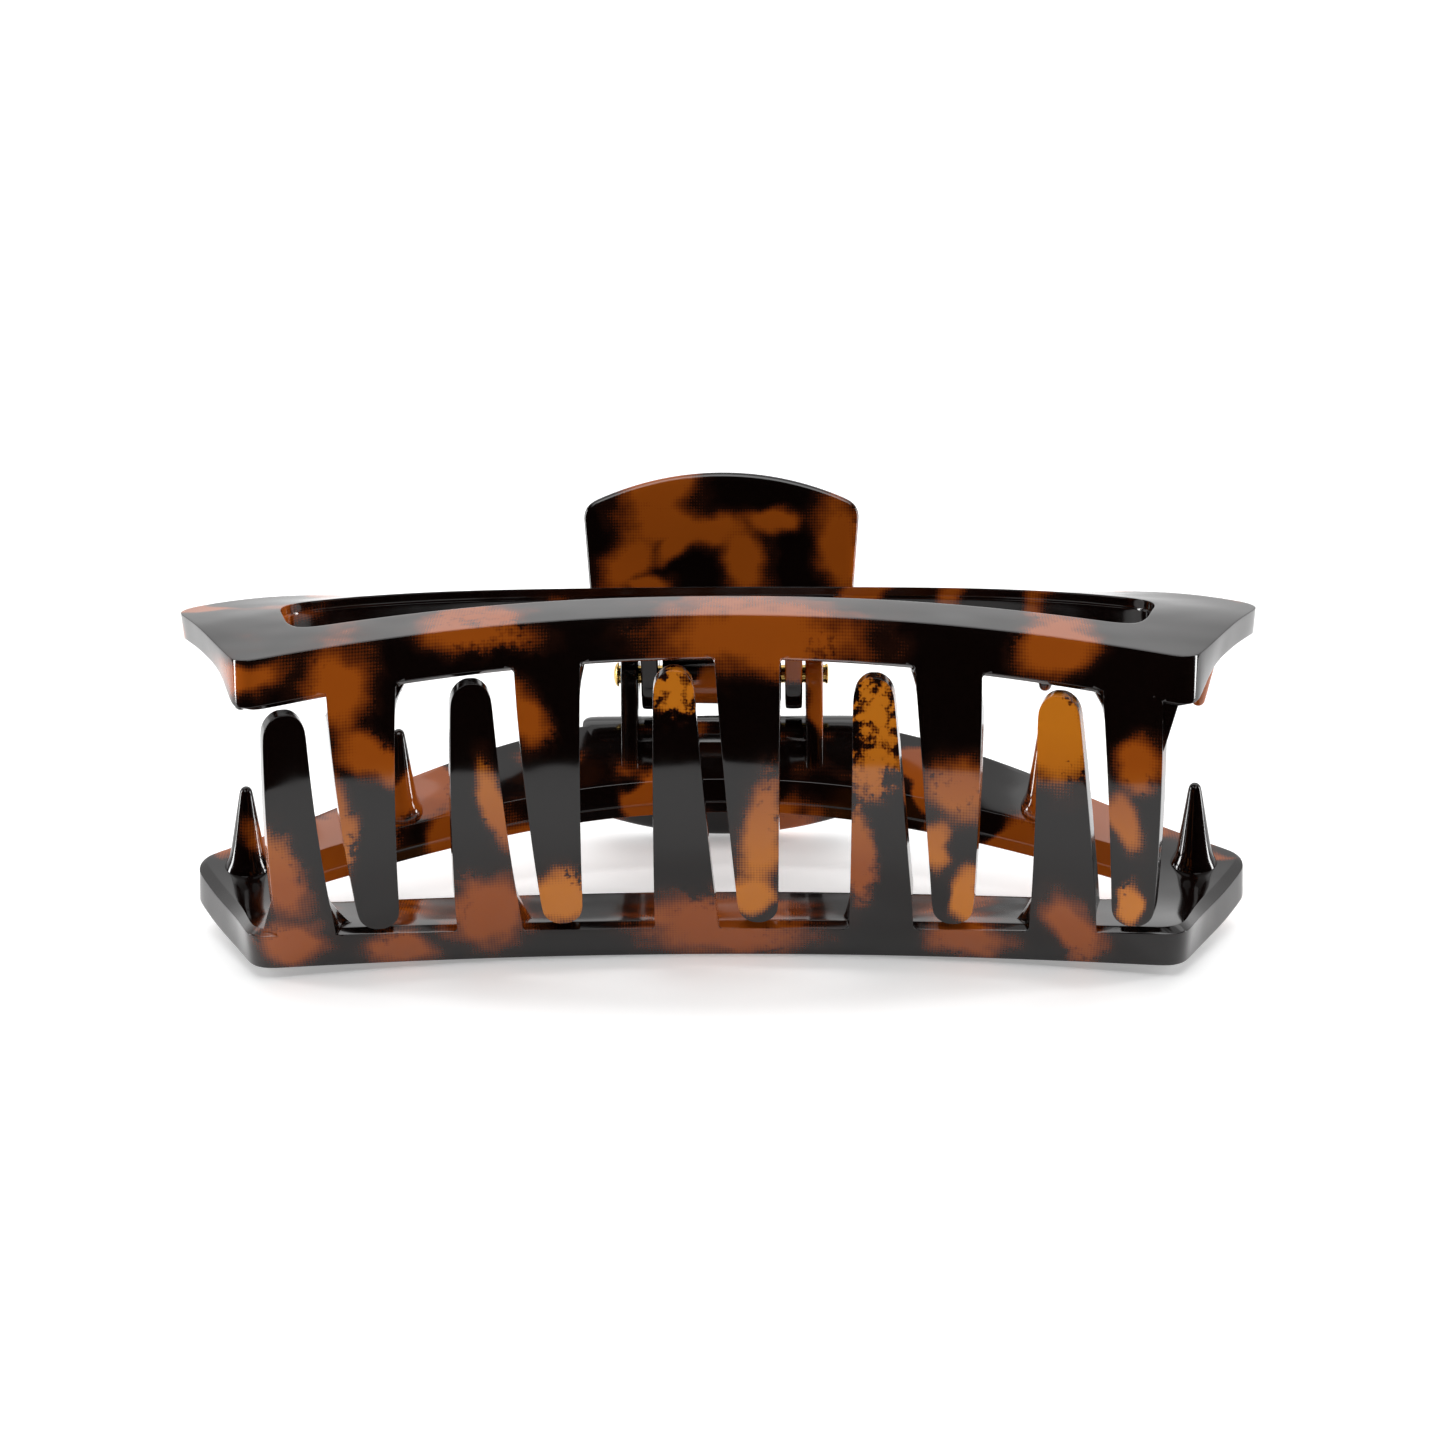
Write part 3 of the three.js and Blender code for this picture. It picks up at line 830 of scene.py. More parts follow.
@dataclass(frozen=True)
class Lug:
    """A round eye about the pin, with a web up to the plate."""

    plate: Plate
    start: float
    thickness: float = 1.95
    radius: float = 3.9
    bore: float = 1.08
    foot: float = 7.2
    edge_radius: float = 0.3
    web_from: float = math.radians(4)
    web_to: float = math.radians(175)
    web_back: Flat = (-2.2, 6.9)

    def outline(self, angle: float) -> Flat:
        """Follows the outline: round below, and three straight legs where the web is.

        Args:
            angle: round the pin, from the front upwards, in radians.

        Returns:
            f and z of the point.
        """
        low, high = self.web_from, self.web_to
        turn = angle % (2 * math.pi)
        if not low < turn < high:
            return self.radius * math.cos(turn), self.radius * math.sin(turn)
        web = [(self.radius * math.cos(low), self.radius * math.sin(low)),
               (self.foot, self.plate.height(0, self.foot) - self.plate.wall_drop * 0.6),
               self.web_back, (self.radius * math.cos(high), self.radius * math.sin(high))]
        way = (turn - low) / (high - low) * 3
        leg = min(2, int(way))
        a, b = web[leg], web[leg + 1]
        return lerp(a[0], b[0], way - leg), lerp(a[1], b[1], way - leg)

    def build(self, into: Mesh, side: int) -> None:
        """Builds the lug as a washer drawn up into its web.

        Args:
            into: the jaw's mesh.
            side: -1 for the left and 1 for the right.
        """
        shell = Shell()
        for radius in (self.bore, self.radius):
            bmesh.ops.create_circle(shell.bm, segments=40, radius=radius, cap_ends=False)
        for vert in shell.bm.verts:
            vert[shell.u] = math.atan2(vert.co.y, vert.co.x)
            vert[shell.v] = vert.co.length > 2
        bmesh.ops.bridge_loops(shell.bm, edges=shell.bm.edges[:])

        def put(x: float, verts: list) -> None:
            """Places points on a face of the lug.

            Args:
                x: the face's distance from the middle.
                verts: the points.
            """
            for vert in verts:
                angle = vert[shell.u]
                f, z = self.outline(angle) if vert[shell.v] else (
                    self.bore * math.cos(angle), self.bore * math.sin(angle))
                vert.co = self.plate.place.spot(side * x, f, z, self.plate.half)

        put(self.start, shell.bm.verts[:])
        back = shell.pull(shell.bm.faces[:])
        put(self.start + self.thickness, [*{v for face in back for v in face.verts}])
        shell.close()
        shell.soften(self.edge_radius, sharper_than=50)
        shell.finish(into)


@dataclass(frozen=True)
class Shroud:
    """The half-round cover over the spring, moulded on the upper jaw."""

    plate: Plate
    reach: float = 7.1
    inner: float = 2.6
    wall: float = 0.75
    roof: float = 6.1

    def build(self, into: Mesh) -> None:
        """Builds the cover by turning its wall about the pin, its top drawn up into the waist.

        Args:
            into: the jaw's mesh.
        """
        outer = self.inner + self.wall
        shell = Shell()
        ring = [shell.bm.verts.new((x, r, 0)) for x, r in (
            (-self.reach, self.inner), (self.reach, self.inner),
            (self.reach, outer), (-self.reach, outer))]
        line = [shell.bm.edges.new((ring[i], ring[(i + 1) % 4])) for i in range(4)]
        start, end, rise = -0.53 * math.pi, 0.5 * math.pi, 0.3 * math.pi
        bmesh.ops.rotate(shell.bm, verts=ring, cent=(0, 0, 0),
                         matrix=Matrix.Rotation(start, 3, "X"))
        bmesh.ops.spin(shell.bm, geom=ring + line, cent=(0, 0, 0), axis=(1, 0, 0),
                       angle=end - start, steps=22)
        for vert in shell.bm.verts:
            x, f, z = vert.co
            angle, far = math.atan2(z, f), math.hypot(f, z)
            if angle > rise and far > self.inner + self.wall / 2:
                f, z = outer * math.cos(angle), self.roof
            vert.co = self.plate.place.spot(x, f, z, self.plate.half)
        shell.close()
        shell.finish(into)


# ---- finishes


def linear(colour: str) -> tuple[float, ...]:
    """Turns an sRGB hex colour into linear light.

    Args:
        colour: such as "#a5591a".

    Returns:
        Red, green, blue and an alpha of 1.
    """
    parts = [int(colour[i:i + 2], 16) / 255 for i in (1, 3, 5)]
    return (*(c / 12.92 if c <= 0.04045 else ((c + 0.055) / 1.055) ** 2.4 for c in parts), 1.0)


def add_node(tree: Tree, kind: str, inputs: dict | None = None, out: int | str = 0,
             **settings: object) -> Socket:
    """Adds a node.

    Args:
        tree: the node tree.
        kind: the node's type, without its ShaderNode prefix.
        inputs: a value, or an output socket to link, for each input by name or number.
        out: the output that is wanted, by name or number.
        settings: the node's own settings.

    Returns:
        That output of the new node.
    """
    node = tree.nodes.new(f"ShaderNode{kind}")
    for name, value in settings.items():
        setattr(node, name, value)
    for key, value in (inputs or {}).items():
        if isinstance(value, Socket):
            tree.links.new(value, node.inputs[key])
        else:
            node.inputs[key].default_value = value
    return node.outputs[out] if node.outputs else None


@dataclass(frozen=True)
class Patch:
    """An amber patch in the dark sheet: its centre and half sizes in x, f and z, and its turn."""

    x: float
    z: float
    wide: float
    high: float
    turn: float = 0.0
    f: float = 38.0
    deep: float = 16.0

    @property
    def centre(self) -> Triple:
        """The centre in the clip's frame as x, -f and z; the front bows forward to the ends."""
        return self.x, -self.f - FRONT_BOW * self.x ** 2, self.z


# Amber in the front faces of the bars and the teeth, read from left to right.
UPPER_PATCHES = tuple(Patch(*row) for row in (
    (-46.0, 14.4, 4.5, 1.7, -6), (-37.0, 13.4, 3.4, 4.2, 12), (-33.5, 6.6, 4.4, 1.9, 38),
    (-37.0, 0.5, 1.5, 6.0, -6), (-23.5, 17.2, 6.2, 1.7, 3), (-18.8, 9.8, 2.2, 3.6, -20),
    (-15.6, -10.0, 3.4, 3.6), (4.2, 16.4, 10.8, 3.4, 2), (4.6, -3.0, 2.4, 6.2, 6),
    (3.2, -10.2, 2.8, 2.2), (24.0, 2.4, 3.4, 3.2, -30), (22.0, -3.8, 1.4, 3.2),
    (25.0, -9.5, 1.4, 3.4), (33.6, 16.4, 4.0, 2.6, -20), (41.6, 5.8, 2.4, 2.8, 30),
    (40.2, 0.0, 1.6, 3.4, -24), (41.2, -8.8, 1.6, 2.6),
))
LOWER_PATCHES = tuple(Patch(*row) for row in (
    (-43.2, -5.0, 2.7, 5.6, -8), (-42.4, -13.6, 3.6, 3.0), (-31.8, -15.4, 3.6, 2.6, 20),
    (-22.0, 0.6, 1.5, 4.6, -14), (-23.0, -11.6, 4.6, 4.8, 18), (-3.2, 12.0, 3.2, 3.2),
    (0.4, -14.6, 9.2, 4.4, 8), (0.6, -2.0, 1.0, 4.5, -6), (15.8, 10.0, 3.4, 4.2),
    (15.6, 4.0, 2.6, 3.6, 24), (14.2, -5.2, 1.5, 6.4), (33.6, 8.4, 3.6, 5.2),
    (25.2, -15.0, 4.4, 2.4, 10), (35.6, -12.6, 2.2, 5.2, -30), (-47.5, -2.0, 2.0, 6.0),
))
# Amber in the thumb plate's outer face; the lower handle has the same sheet turned over.
HANDLE_PATCHES = tuple(Patch(*row) for row in (
    (-6.8, 20.2, 4.6, 4.0, 0, -4.5, 6.0), (-6.4, 16.4, 5.2, 2.6, 6, -3.0, 6.0),
    (-10.4, 12.6, 2.4, 4.4, 28, -2.0, 6.0), (-0.8, 15.7, 5.4, 1.8, -4, -2.5, 6.0),
    (2.6, 12.6, 2.7, 4.2, -14, -2.0, 6.0), (6.0, 16.8, 3.4, 1.2, 4, -3.0, 6.0),
    (13.0, 14.6, 2.6, 6.4, -8, -2.5, 6.0), (-4.6, 14.2, 3.2, 1.4, -20, -2.0, 6.0),
    (-8.6, 10.2, 3.0, 1.2, 0, -1.0, 6.0),
))


@dataclass(frozen=True)
class Tortoiseshell:
    """Cellulose acetate sheet, cast in dark and amber layers, cut and tumble polished.

    It gives the eye a deep wet gloss over near-black brown, with honey-coloured patches whose
    edges break up into rows of small dots and burn to red-brown.
    """

    half: Half
    place: ClipFrame
    name: str = "tumble_polished_tortoiseshell_acetate"
    dark: str = "#0b0504"
    brown: str = "#231009"
    burnt: str = "#5c270c"
    amber: str = "#9c4c12"
    honey: str = "#cc781e"
    dot_pitch_mm: float = 0.42  # the real dots are 0.25 mm apart, too fine to show
    edge_noise_mm: float = 4.5
    drift_mm: float = 3.0
    fleck_mm: float = 0.7
    patch_reach: float = 1.55

    def build(self) -> bpy.types.Material:
        """Builds the material and returns it."""
        material = bpy.data.materials.new(f"{self.name}_{self.half.name.lower()}")
        material.use_nodes = True
        tree = material.node_tree
        tree.nodes.clear()
        local = self.clip_coordinates(tree)
        amber = self.amber_share(tree, local)
        flecks = self.flecks(tree, local)
        colour = self.colours(tree, local, amber, flecks)
        surface = add_node(tree, "BsdfPrincipled", {
            "Base Color": colour, "Roughness": self.roughness(tree, local), "IOR": 1.46,
            "Normal": self.waviness(tree, local)})
        add_node(tree, "OutputMaterial", {"Surface": surface})
        return material

    def clip_coordinates(self, tree: Tree) -> Socket:
        """Returns coordinates in millimetres in the clip's own frame, as x, -f and z."""
        turn = Matrix.Rotation(-self.place.tilt, 3, "X")
        shift = -(turn @ self.place.pin) / MM
        return add_node(tree, "Mapping", {
            "Vector": add_node(tree, "TexCoord", out="Object"), "Location": shift,
            "Rotation": (-self.place.tilt, 0, 0), "Scale": (1 / MM,) * 3})

    def patches(self) -> list[Patch]:
        """Returns the listed patches of this half, in the clip's frame."""
        if self.half is Half.UPPER:
            return [*UPPER_PATCHES, *HANDLE_PATCHES]
        turned = [Patch(-p.x, -p.z, p.wide, p.high, p.turn, p.f, p.deep) for p in HANDLE_PATCHES]
        return [*LOWER_PATCHES, *turned]

    def amber_share(self, tree: Tree, local: Socket) -> Socket:
        """Works out how amber the sheet is.

        Args:
            tree: the node tree.
            local: coordinates in the clip's frame.

        Returns:
            A socket that runs from below 0 in the dark to above 1 in the amber, with no clamp.
        """
        drift = add_node(tree, "VectorMath", {
            0: add_node(tree, "TexNoise", {"Vector": local, "Scale": 1 / self.edge_noise_mm,
                                           "Detail": 1.5}, "Color"),
            1: (0.5, 0.5, 0.5)}, operation="SUBTRACT")
        drift = add_node(tree, "VectorMath", {0: drift, "Scale": self.drift_mm}, operation="SCALE")
        moved = add_node(tree, "VectorMath", {0: local, 1: drift}, operation="ADD")
        nearest = None
        for patch in self.patches():
            inside = add_node(tree, "Mapping", {
                "Vector": moved, "Location": patch.centre,
                "Rotation": (0, math.radians(patch.turn), 0),
                "Scale": (patch.wide, patch.deep, patch.high)}, vector_type="TEXTURE")
            away = add_node(tree, "VectorMath", {0: inside}, "Value", operation="LENGTH")
            nearest = away if nearest is None else add_node(
                tree, "Math", {0: nearest, 1: away, 2: 0.3}, operation="SMOOTH_MIN")
        placed = add_node(tree, "Math", {0: self.patch_reach, 1: nearest}, operation="SUBTRACT")
        # Elsewhere, on the rear bars, the ends and the inner faces, the sheet falls as it may.
        loose = add_node(tree, "MapRange", {
            "Value": add_node(tree, "TexNoise", {
                "Vector": moved, "Scale": 1 / 9.0, "Detail": 1.0}),
            "From Min": 0.47, "From Max": 0.62, "To Min": -0.3, "To Max": 1.2},
            clamp=False)
        forward = add_node(tree, "SeparateXYZ", {0: local}, "Y")
        front = add_node(tree, "MapRange", {
            "Value": forward, "From Min": -24.0, "From Max": -30.0})
        rear = add_node(tree, "MapRange", {"Value": forward, "From Min": -2.5, "From Max": 0.5})
        known = add_node(tree, "Math", {0: front, 1: rear}, operation="MAXIMUM")
        return add_node(tree, "Mix", {"Factor": known, 2: loose, 3: placed})

    def flecks(self, tree: Tree, local: Socket) -> Socket:
        """Returns dark flecks, 1 where there is one."""
        fine = add_node(tree, "TexNoise", {
            "Vector": local, "Scale": 1 / self.fleck_mm, "Detail": 4.0})
        where = add_node(tree, "TexNoise", {"Vector": local, "Scale": 1 / 7.0, "Detail": 1.0})
        lot = add_node(tree, "MapRange", {
            "Value": where, "From Min": 0.5, "From Max": 0.68, "To Min": 0.7,
            "To Max": 0.47})
        over = add_node(tree, "Math", {0: fine, 1: lot}, operation="SUBTRACT")
        return add_node(tree, "MapRange", {"Value": over, "From Min": 0.0, "From Max": 0.12})

    def colours(self, tree: Tree, local: Socket, amber: Socket, flecks: Socket) -> Socket:
        """Mixes the sheet's colours.

        Args:
            tree: the node tree.
            local: coordinates in the clip's frame.
            amber: how amber the sheet is.
            flecks: where dark flecks lie.

        Returns:
            The colour.
        """
        # Dots in staggered rows; they grow as the amber gives out, and run together in the dark.
        turned = add_node(tree, "Mapping", {
            "Vector": local, "Rotation": (0, math.radians(45), 0),
            "Scale": (2 * math.pi / self.dot_pitch_mm,) * 3})
        waves = [add_node(tree, "Math", {0: add_node(tree, "SeparateXYZ", {0: turned}, axis)},
                          operation="SINE") for axis in ("X", "Z")]
        dots = add_node(tree, "Math", dict(enumerate(waves)), operation="MULTIPLY")
        spread = add_node(tree, "Math", {0: dots, 1: 0.11, 2: amber}, operation="MULTIPLY_ADD")
        # The layers drift in depth, so neither the amber nor the dark is even.
        layers = add_node(tree, "TexNoise", {"Vector": local, "Scale": 1 / 2.6, "Detail": 4.0})
        cloud = add_node(tree, "Math", {0: layers, 1: 0.5}, operation="SUBTRACT")
        spread = add_node(tree, "Math", {0: cloud, 1: 0.75, 2: spread}, operation="MULTIPLY_ADD")
        thin = self.thinness(tree, local)
        if self.half is Half.LOWER:
            # Two of the lower teeth end in a mottled patch.
            x = add_node(tree, "SeparateXYZ", {0: local}, "X")
            mottle = add_node(tree, "TexNoise", {"Vector": local, "Scale": 1 / 1.1, "Detail": 5.0})
            grain = add_node(tree, "MapRange", {
                "Value": mottle, "From Min": 0.44, "From Max": 0.58, "To Max": 0.62})
            teeth = add_node(tree, "Math", {0: x, 1: 6.5, 2: 14.5}, operation="COMPARE")
            region = add_node(tree, "Math", {0: thin, 1: teeth}, operation="MULTIPLY")
            less = add_node(tree, "Math", {0: grain, 1: region}, operation="MULTIPLY")
            spread = add_node(tree, "Math", {0: spread, 1: less}, operation="SUBTRACT")
        depth = add_node(tree, "Math", {0: thin, 1: -0.2, 2: -0.2}, operation="MULTIPLY_ADD")
        share = add_node(tree, "Math", {0: flecks, 1: depth, 2: spread}, operation="MULTIPLY_ADD")
        ramp = add_node(tree, "ValToRGB", {"Fac": share})
        stops = [(0.1, self.dark), (0.4, self.brown), (0.6, self.burnt), (0.95, self.amber)]
        band = ramp.node.color_ramp
        for _ in stops[2:]:
            band.elements.new(0.5)
        for element, (position, colour) in zip(band.elements, stops):
            element.position = position
            element.color = linear(colour)
        # Light comes through the thin ends of the teeth, so the amber there is paler.
        pale = add_node(tree, "MapRange", {"Value": share, "From Min": 0.5, "From Max": 0.9})
        clear = add_node(tree, "Math", {0: thin, 1: pale}, operation="MULTIPLY")
        return add_node(tree, "Mix", {
            "Factor": clear, 6: ramp, 7: linear(self.honey)}, 2, data_type="RGBA")

    def thinness(self, tree: Tree, local: Socket) -> Socket:
        """Returns how near a point is to the thin end of its tooth, from 0 to 1."""
        ends = (6.0, -9.0) if self.half is Half.UPPER else (-6.0, 9.0)
        down = add_node(tree, "MapRange", {
            "Value": add_node(tree, "SeparateXYZ", {0: local}, "Z"),
            "From Min": ends[0], "From Max": ends[1]})
        ahead = add_node(tree, "MapRange", {
            "Value": add_node(tree, "SeparateXYZ", {0: local}, "Y"),
            "From Min": -24.0, "From Max": -30.0})
        return add_node(tree, "Math", {0: down, 1: ahead}, operation="MULTIPLY")

    def roughness(self, tree: Tree, local: Socket) -> Socket:
        """Returns a roughness that varies a little, as tumbling leaves it."""
        patchy = add_node(tree, "TexNoise", {"Vector": local, "Scale": 1 / 5.0, "Detail": 2.0})
        return add_node(tree, "MapRange", {
            "Value": patchy, "From Min": 0.3, "From Max": 0.7,
            "To Min": 0.06, "To Max": 0.13})

    def waviness(self, tree: Tree, local: Socket) -> Socket:
        """Returns a normal with the slow waves that polishing leaves."""
        waves = add_node(tree, "TexNoise", {"Vector": local, "Scale": 1 / 8.0, "Detail": 1.0})
        return add_node(tree, "Bump", {"Height": waves, "Strength": 0.7, "Distance": 0.25 * MM})


@dataclass(frozen=True)
class DrawnMetal:
    """Drawn wire: fine scratches run along it, so that the eye sees long soft highlights."""

    name: str
    colour: str
    roughness: float
    grain_mm: float = 0.3  # die marks are finer, and would not show
    stretch: float = 0.15

    def build(self) -> bpy.types.Material:
        """Builds the material and returns it."""
        material = bpy.data.materials.new(self.name)
        material.use_nodes = True
        tree = material.node_tree
        tree.nodes.clear()
        across = 1 / (self.grain_mm * MM)
        drawn = add_node(tree, "Mapping", {
            "Vector": add_node(tree, "TexCoord", out="Object"),
            "Scale": (self.stretch * across, across, across)})
        marks = add_node(tree, "TexNoise", {"Vector": drawn, "Scale": 1.0, "Detail": 3.0})
        rough = add_node(tree, "MapRange", {
            "Value": marks, "To Min": self.roughness * 0.7, "To Max": self.roughness * 1.5})
        bump = add_node(tree, "Bump", {"Height": marks, "Strength": 0.2, "Distance": 0.02 * MM})
        value = add_node(tree, "MapRange", {"Value": marks, "To Min": 0.8, "To Max": 1.15})
        tone = add_node(tree, "HueSaturation", {"Color": linear(self.colour), "Value": value})
        surface = add_node(tree, "BsdfPrincipled", {
            "Base Color": tone, "Metallic": 1.0, "Roughness": rough, "Normal": bump})
        add_node(tree, "OutputMaterial", {"Surface": surface})
        return material


# ---- the pieces


@dataclass
class Jaw:
    """One jaw: a single moulding, built from its features."""

    half: Half
    place: ClipFrame
    inner_lug: float = 6.9
    outer_lug: float = 9.15
    spikes: tuple = ((49.65, 22.9, 4.25, 1.6), (34.7, 11.7, 2.0, 1.8))
    upper_teeth: tuple = ((-38.15, -31.3, -31.8, 12.75), (-20.0, -13.3, -13.6, 13.6),
                          (-0.2, 6.45, 6.15, 13.9), (19.6, 26.35, 25.7, 13.3),
                          (37.8, 43.6, 43.3, 11.8))
    lower_teeth: tuple = ((-38.15, -31.3, -31.6, 12.2), (-20.0, -13.3, -13.6, 13.05),
                          (-0.2, 6.45, 6.15, 13.6), (19.6, 26.35, 26.05, 13.0),
                          (38.1, 43.85, 44.0, 11.35))

    def build(self) -> bpy.types.Object:
        """Builds the jaw, dresses it and returns it."""
        upper = self.half is Half.UPPER
        rows = self.upper_teeth if upper else self.lower_teeth
        plate = Plate(self.half, self.place, tuple(Tooth(*row) for row in rows))
        bm = bmesh.new()
        plate.build(bm)
        Gusset(plate).build(bm)
        for x, f, tip, lean in self.spikes:
            for side in (-1, 1):
                Spike(plate, side * x, f, tip, lean).build(bm)
        Handle(plate).build(bm)
        lug = Lug(plate, self.inner_lug if upper else self.outer_lug)
        for side in (-1, 1):
            lug.build(bm, side)
        if upper:
            Shroud(plate).build(bm)
        piece = make_piece(f"{self.half.value}_moulding", bm, levels=1)
        piece.data.materials.append(Tortoiseshell(self.half, self.place).build())
        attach(piece, self.half.body)
        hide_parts(self.half.value)
        return piece


@dataclass
class Pin:
    """The brass hinge pin, with a domed head and a peened tail."""

    place: ClipFrame
    radius: float = 1.0
    seat: float = 11.4

    def build(self) -> bpy.types.Object:
        """Builds the pin by turning its profile, dresses it and returns it."""
        profile = [(0, -12.0), (0.45, -11.97), (0.85, -11.88), (1.15, -11.74), (1.31, -11.58),
                   (1.34, -11.48), (1.3, -self.seat), (self.radius, -self.seat),
                   (self.radius, 0), (self.radius, self.seat), (1.08, self.seat),
                   (1.12, 11.48), (1.1, 11.62), (0.95, 11.7), (0.6, 11.74), (0, 11.75)]
        shell = Shell()
        shell.turn(profile, lambda r, x: (x, 0, r), (1, 0, 0), 40)
        piece = make_piece("brass_pin", shell.settle(self.place))
        piece.data.set_sharp_from_angle(angle=math.radians(35))
        piece.data.materials.append(DrawnMetal("drawn_brass_wire", "#d8b468", 0.24).build())
        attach(piece, "lower_half")
        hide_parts("hinge_pin")
        return piece


@dataclass
class Spring:
    """The torsion spring: one wire wound on the pin, with a leg up each handle."""

    place: ClipFrame
    handle: Handle
    wire: float = 0.45
    coil: float = 1.72
    pitch: float = 1.0
    turns: int = 10
    leg: float = 12.5
    leg_gap: float = 0.3

    def build(self) -> bpy.types.Object:
        """Winds the spring, dresses it and returns it."""
        slope = self.handle.slope
        inner = (self.handle.tip_f * math.sin(slope) + self.handle.tip_z * math.cos(slope)
                 - self.handle.thickness)
        out = inner - self.leg_gap - self.wire
        leave = (math.atan2(self.leg, out) + math.acos(self.coil / math.hypot(out, self.leg))
                 + math.pi / 2 - slope)
        sweep = 2 * math.pi * self.turns + 2 * math.pi - 2 * leave
        steps = 16 * self.turns
        half = self.pitch * self.turns / 2
        run = math.sqrt(out ** 2 + self.leg ** 2 - self.coil ** 2)
        start = -leave
        shell = Shell()
        made = bmesh.ops.create_circle(shell.bm, segments=10, radius=self.wire, cap_ends=False)
        ring = made["verts"]
        # The circle lies across the wire: its plane holds the pin's direction and the radius.
        bmesh.ops.translate(shell.bm, verts=ring, vec=(-half, self.coil, 0))
        bmesh.ops.rotate(shell.bm, verts=ring, cent=(0, 0, 0),
                         matrix=Matrix.Rotation(start, 3, "X"))
        first = shell.bm.edges[:]
        last = bmesh.ops.spin(
            shell.bm, geom=ring + first, cent=(0, 0, 0), axis=(1, 0, 0), angle=-sweep, steps=steps,
            dvec=(2 * half / steps, 0, 0))["geom_last"]
        # Each leg carries straight on from its end of the coil.
        for edges, angle, way in ((first, start, 1),
                                  ([g for g in last if isinstance(g, bmesh.types.BMEdge)],
                                   start - sweep, -1)):
            grown = bmesh.ops.extrude_edge_only(shell.bm, edges=edges)["geom"]
            verts = [g for g in grown if isinstance(g, bmesh.types.BMVert)]
            along = Vector((0, -math.sin(angle), math.cos(angle))) * way * run
            bmesh.ops.translate(shell.bm, verts=verts, vec=along)
        piece = make_piece("wound_spring", shell.settle(self.place))
        piece.data.set_sharp_from_angle(angle=math.radians(50))
        piece.data.materials.append(DrawnMetal("bare_spring_wire", "#b7b3ab", 0.3).build())
        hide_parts("torsion_spring")
        self.place.spot(-5, 0, 0)
        self.place.spot(5, 0, 0)
        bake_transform(piece)
        return piece


# ---- floor, light and camera


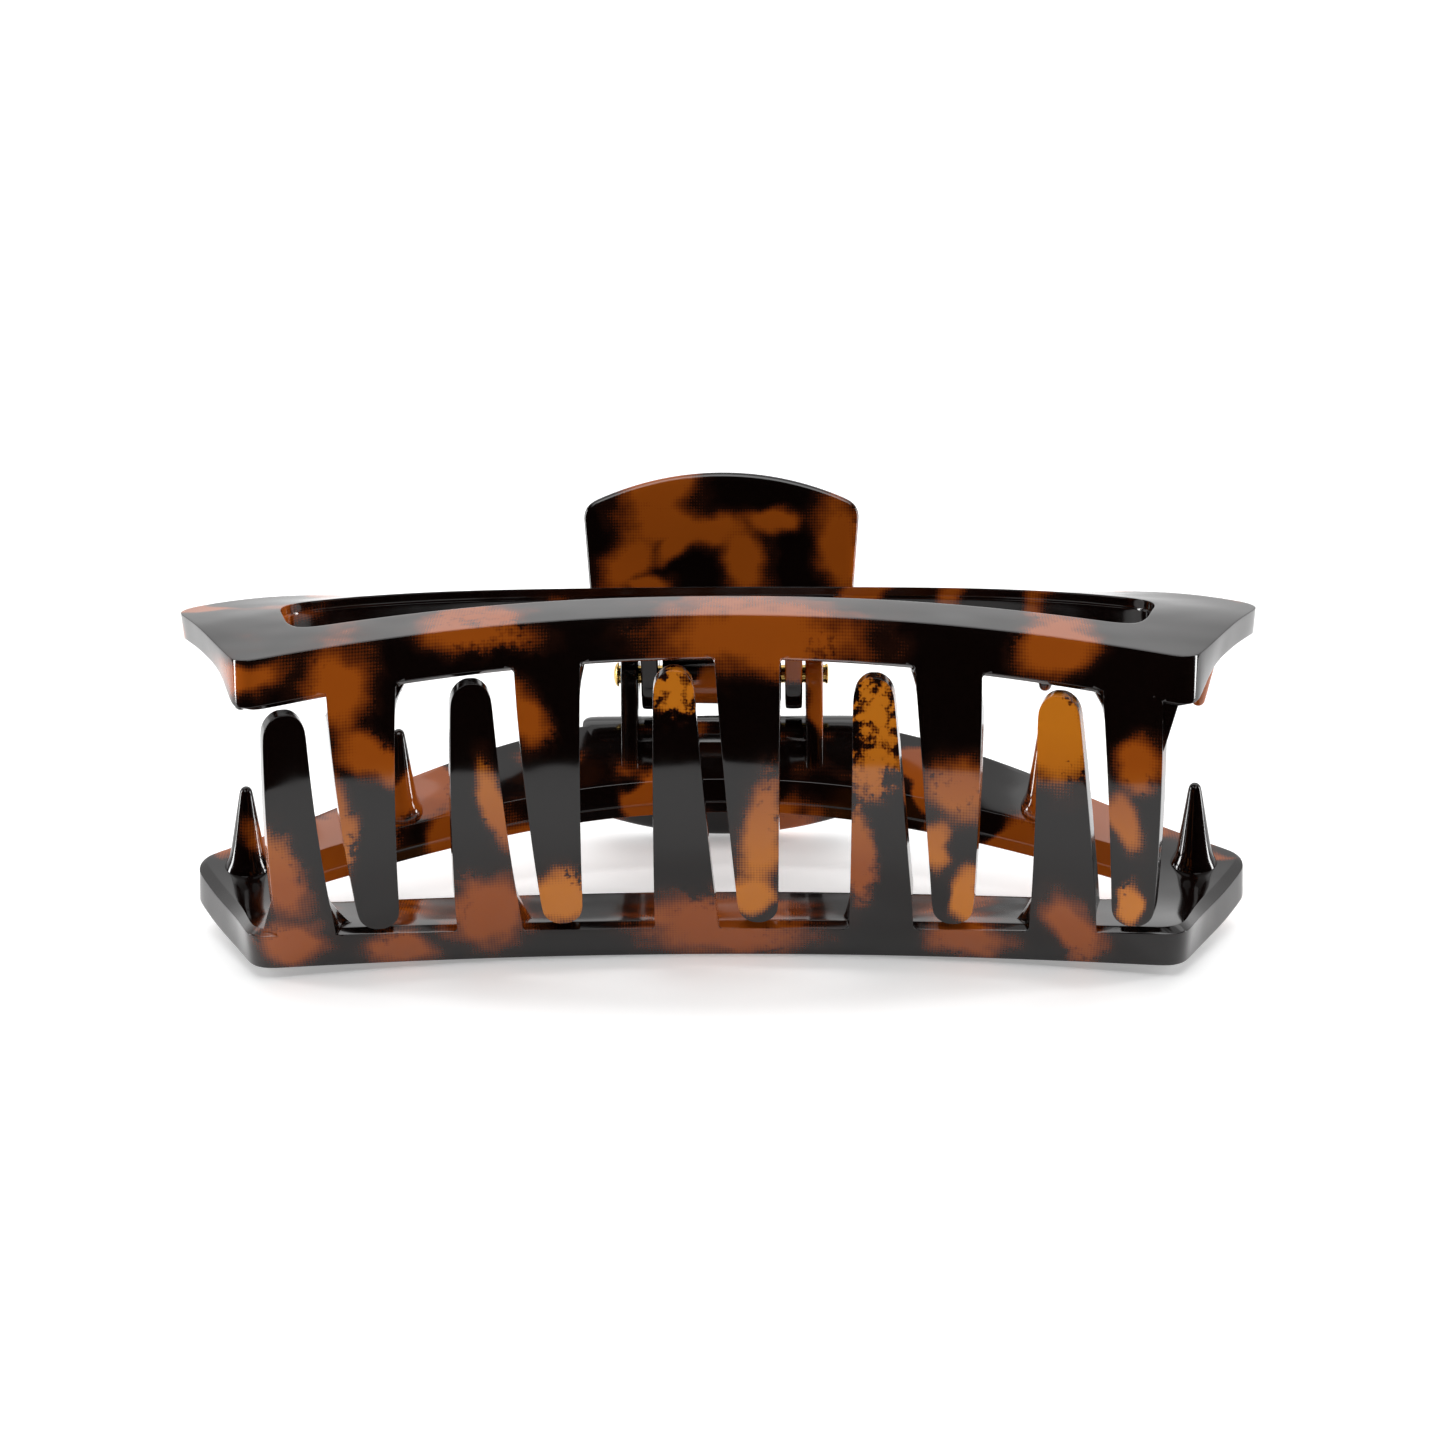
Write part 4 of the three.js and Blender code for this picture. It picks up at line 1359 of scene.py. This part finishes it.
@dataclass
class Studio:
    """A white table under soft light, open and dark towards the front."""

    floor_front: float = -0.135
    floor_back: float = 0.62
    aim_height: float = 0.02
    camera_roll: float = math.radians(-0.53)

    def sheet(self, name: str, size: Flat, centre: Vector, lean: float,
              colour: str, glow: float) -> bpy.types.Object:
        """Adds a flat part of the set.

        Args:
            name: its name.
            size: width and depth in metres.
            centre: its centre.
            lean: turn about X in radians.
            colour: sRGB colour.
            glow: how strongly it shines by itself.

        Returns:
            The new object.
        """
        bm = bmesh.new()
        bmesh.ops.create_grid(bm, x_segments=1, y_segments=1, size=0.5)
        bmesh.ops.scale(bm, verts=bm.verts[:], vec=(*size, 1))
        bmesh.ops.rotate(bm, verts=bm.verts[:], cent=(0, 0, 0),
                         matrix=Matrix.Rotation(lean, 3, "X"))
        bmesh.ops.translate(bm, verts=bm.verts[:], vec=centre)
        made = make_piece(name, bm)
        material = bpy.data.materials.new(name)
        material.use_nodes = True
        shader = material.node_tree.nodes["Principled BSDF"]
        shader.inputs["Base Color"].default_value = linear(colour)
        shader.inputs["Roughness"].default_value = 0.6
        shader.inputs["Emission Color"].default_value = (1, 1, 1, 1)
        shader.inputs["Emission Strength"].default_value = glow
        made.data.materials.append(material)
        return made

    def lamp(self, name: str, where: Vector, size: Flat, watts: float) -> None:
        """Adds a soft rectangular lamp that points at the clip.

        Args:
            name: its name.
            where: its place.
            size: its width and height in metres.
            watts: its power.
        """
        data = bpy.data.lights.new(name, "AREA")
        data.shape, data.size, data.size_y, data.energy = "RECTANGLE", *size, watts
        lamp = bpy.data.objects.new(name, data)
        lamp.location = where
        aim = Vector((0, 0, self.aim_height))
        lamp.rotation_euler = (aim - where).to_track_quat("-Z", "Y").to_euler()
        bpy.context.scene.collection.objects.link(lamp)

    def build(self) -> None:
        """Sets the table, the wall behind it, the lamps and the camera."""
        depth = self.floor_back - self.floor_front
        middle = (self.floor_back + self.floor_front) / 2
        self.sheet("table", (2.4, depth), Vector((0, middle, 0)), 0, "#f0f0f0", 0.3)
        apron = self.sheet("table_apron", (2.4, 1.0), Vector((0, self.floor_front - 0.5, 0)), 0,
                           "#f0f0f0", 0.3)
        # The gloss sees a dark room in front of the table, and the eye sees a white one.
        apron.visible_glossy = apron.visible_diffuse = False
        self.sheet("wall", (3.2, 1.6), Vector((0, self.floor_back, 0.8)), math.radians(90),
                   "#202020", 1.0)
        self.lamp("overhead", Vector((0.0, 0.12, 0.75)), (1.1, 0.9), 3.6)
        self.lamp("front", Vector((0.0, -0.5, 0.85)), (0.8, 0.3), 3.8)
        for name, x in (("left", -0.6), ("right", 0.6)):
            self.lamp(name, Vector((x, 0.05, 0.19)), (0.1, 0.36), 2.4)
        world = bpy.data.worlds.new("room")
        world.use_nodes = True
        world.node_tree.nodes["Background"].inputs["Color"].default_value = (1, 1, 1, 1)
        world.node_tree.nodes["Background"].inputs["Strength"].default_value = 1.0
        world.cycles_visibility.glossy = world.cycles_visibility.diffuse = False
        bpy.context.scene.world = world
        bpy.context.scene.view_settings.view_transform = "Standard"
        self.camera(Vector((6.90, -347.66, 116.47)) * MM, Vector((-0.03, 18.59, 15.39)) * MM)

    def camera(self, where: Vector, aim: Vector) -> None:
        """Adds the camera, turned a little about its line of sight.

        Args:
            where: its place.
            aim: the point that it looks at.
        """
        data = bpy.data.cameras.new("camera")
        data.lens, data.sensor_width = 85.26, 36.0
        camera = bpy.data.objects.new("camera", data)
        camera.location = where
        look = (aim - where).to_track_quat("-Z", "Y").to_matrix()
        camera.rotation_euler = (look @ Matrix.Rotation(self.camera_roll, 3, "Z")).to_euler()
        bpy.context.scene.collection.objects.link(camera)
        bpy.context.scene.camera = camera


def main() -> None:
    """Builds the clip and its setting."""
    logging.basicConfig(level=logging.INFO, format="%(name)s: %(message)s")
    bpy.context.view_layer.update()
    hinge = Vector(frame["joints"][0]["pos_m"])
    rise = HANDLE_TIP[1] - FRONT_TOP
    run = FRONT_AXIS + math.sqrt(FRONT_RADIUS ** 2 - FRONT_TOP ** 2) - HANDLE_TIP[0]
    place = ClipFrame(hinge, math.atan(rise / run))
    Studio().build()
    pieces = [Jaw(half, place).build() for half in Half]
    pieces.append(Pin(place).build())
    pieces.append(Spring(place, Handle(Plate(Half.UPPER, place, ()))).build())
    for piece in pieces:
        LOG.info("%s: %d faces before rounding", piece.name, len(piece.data.polygons))


if __name__ == "__main__":
    main()
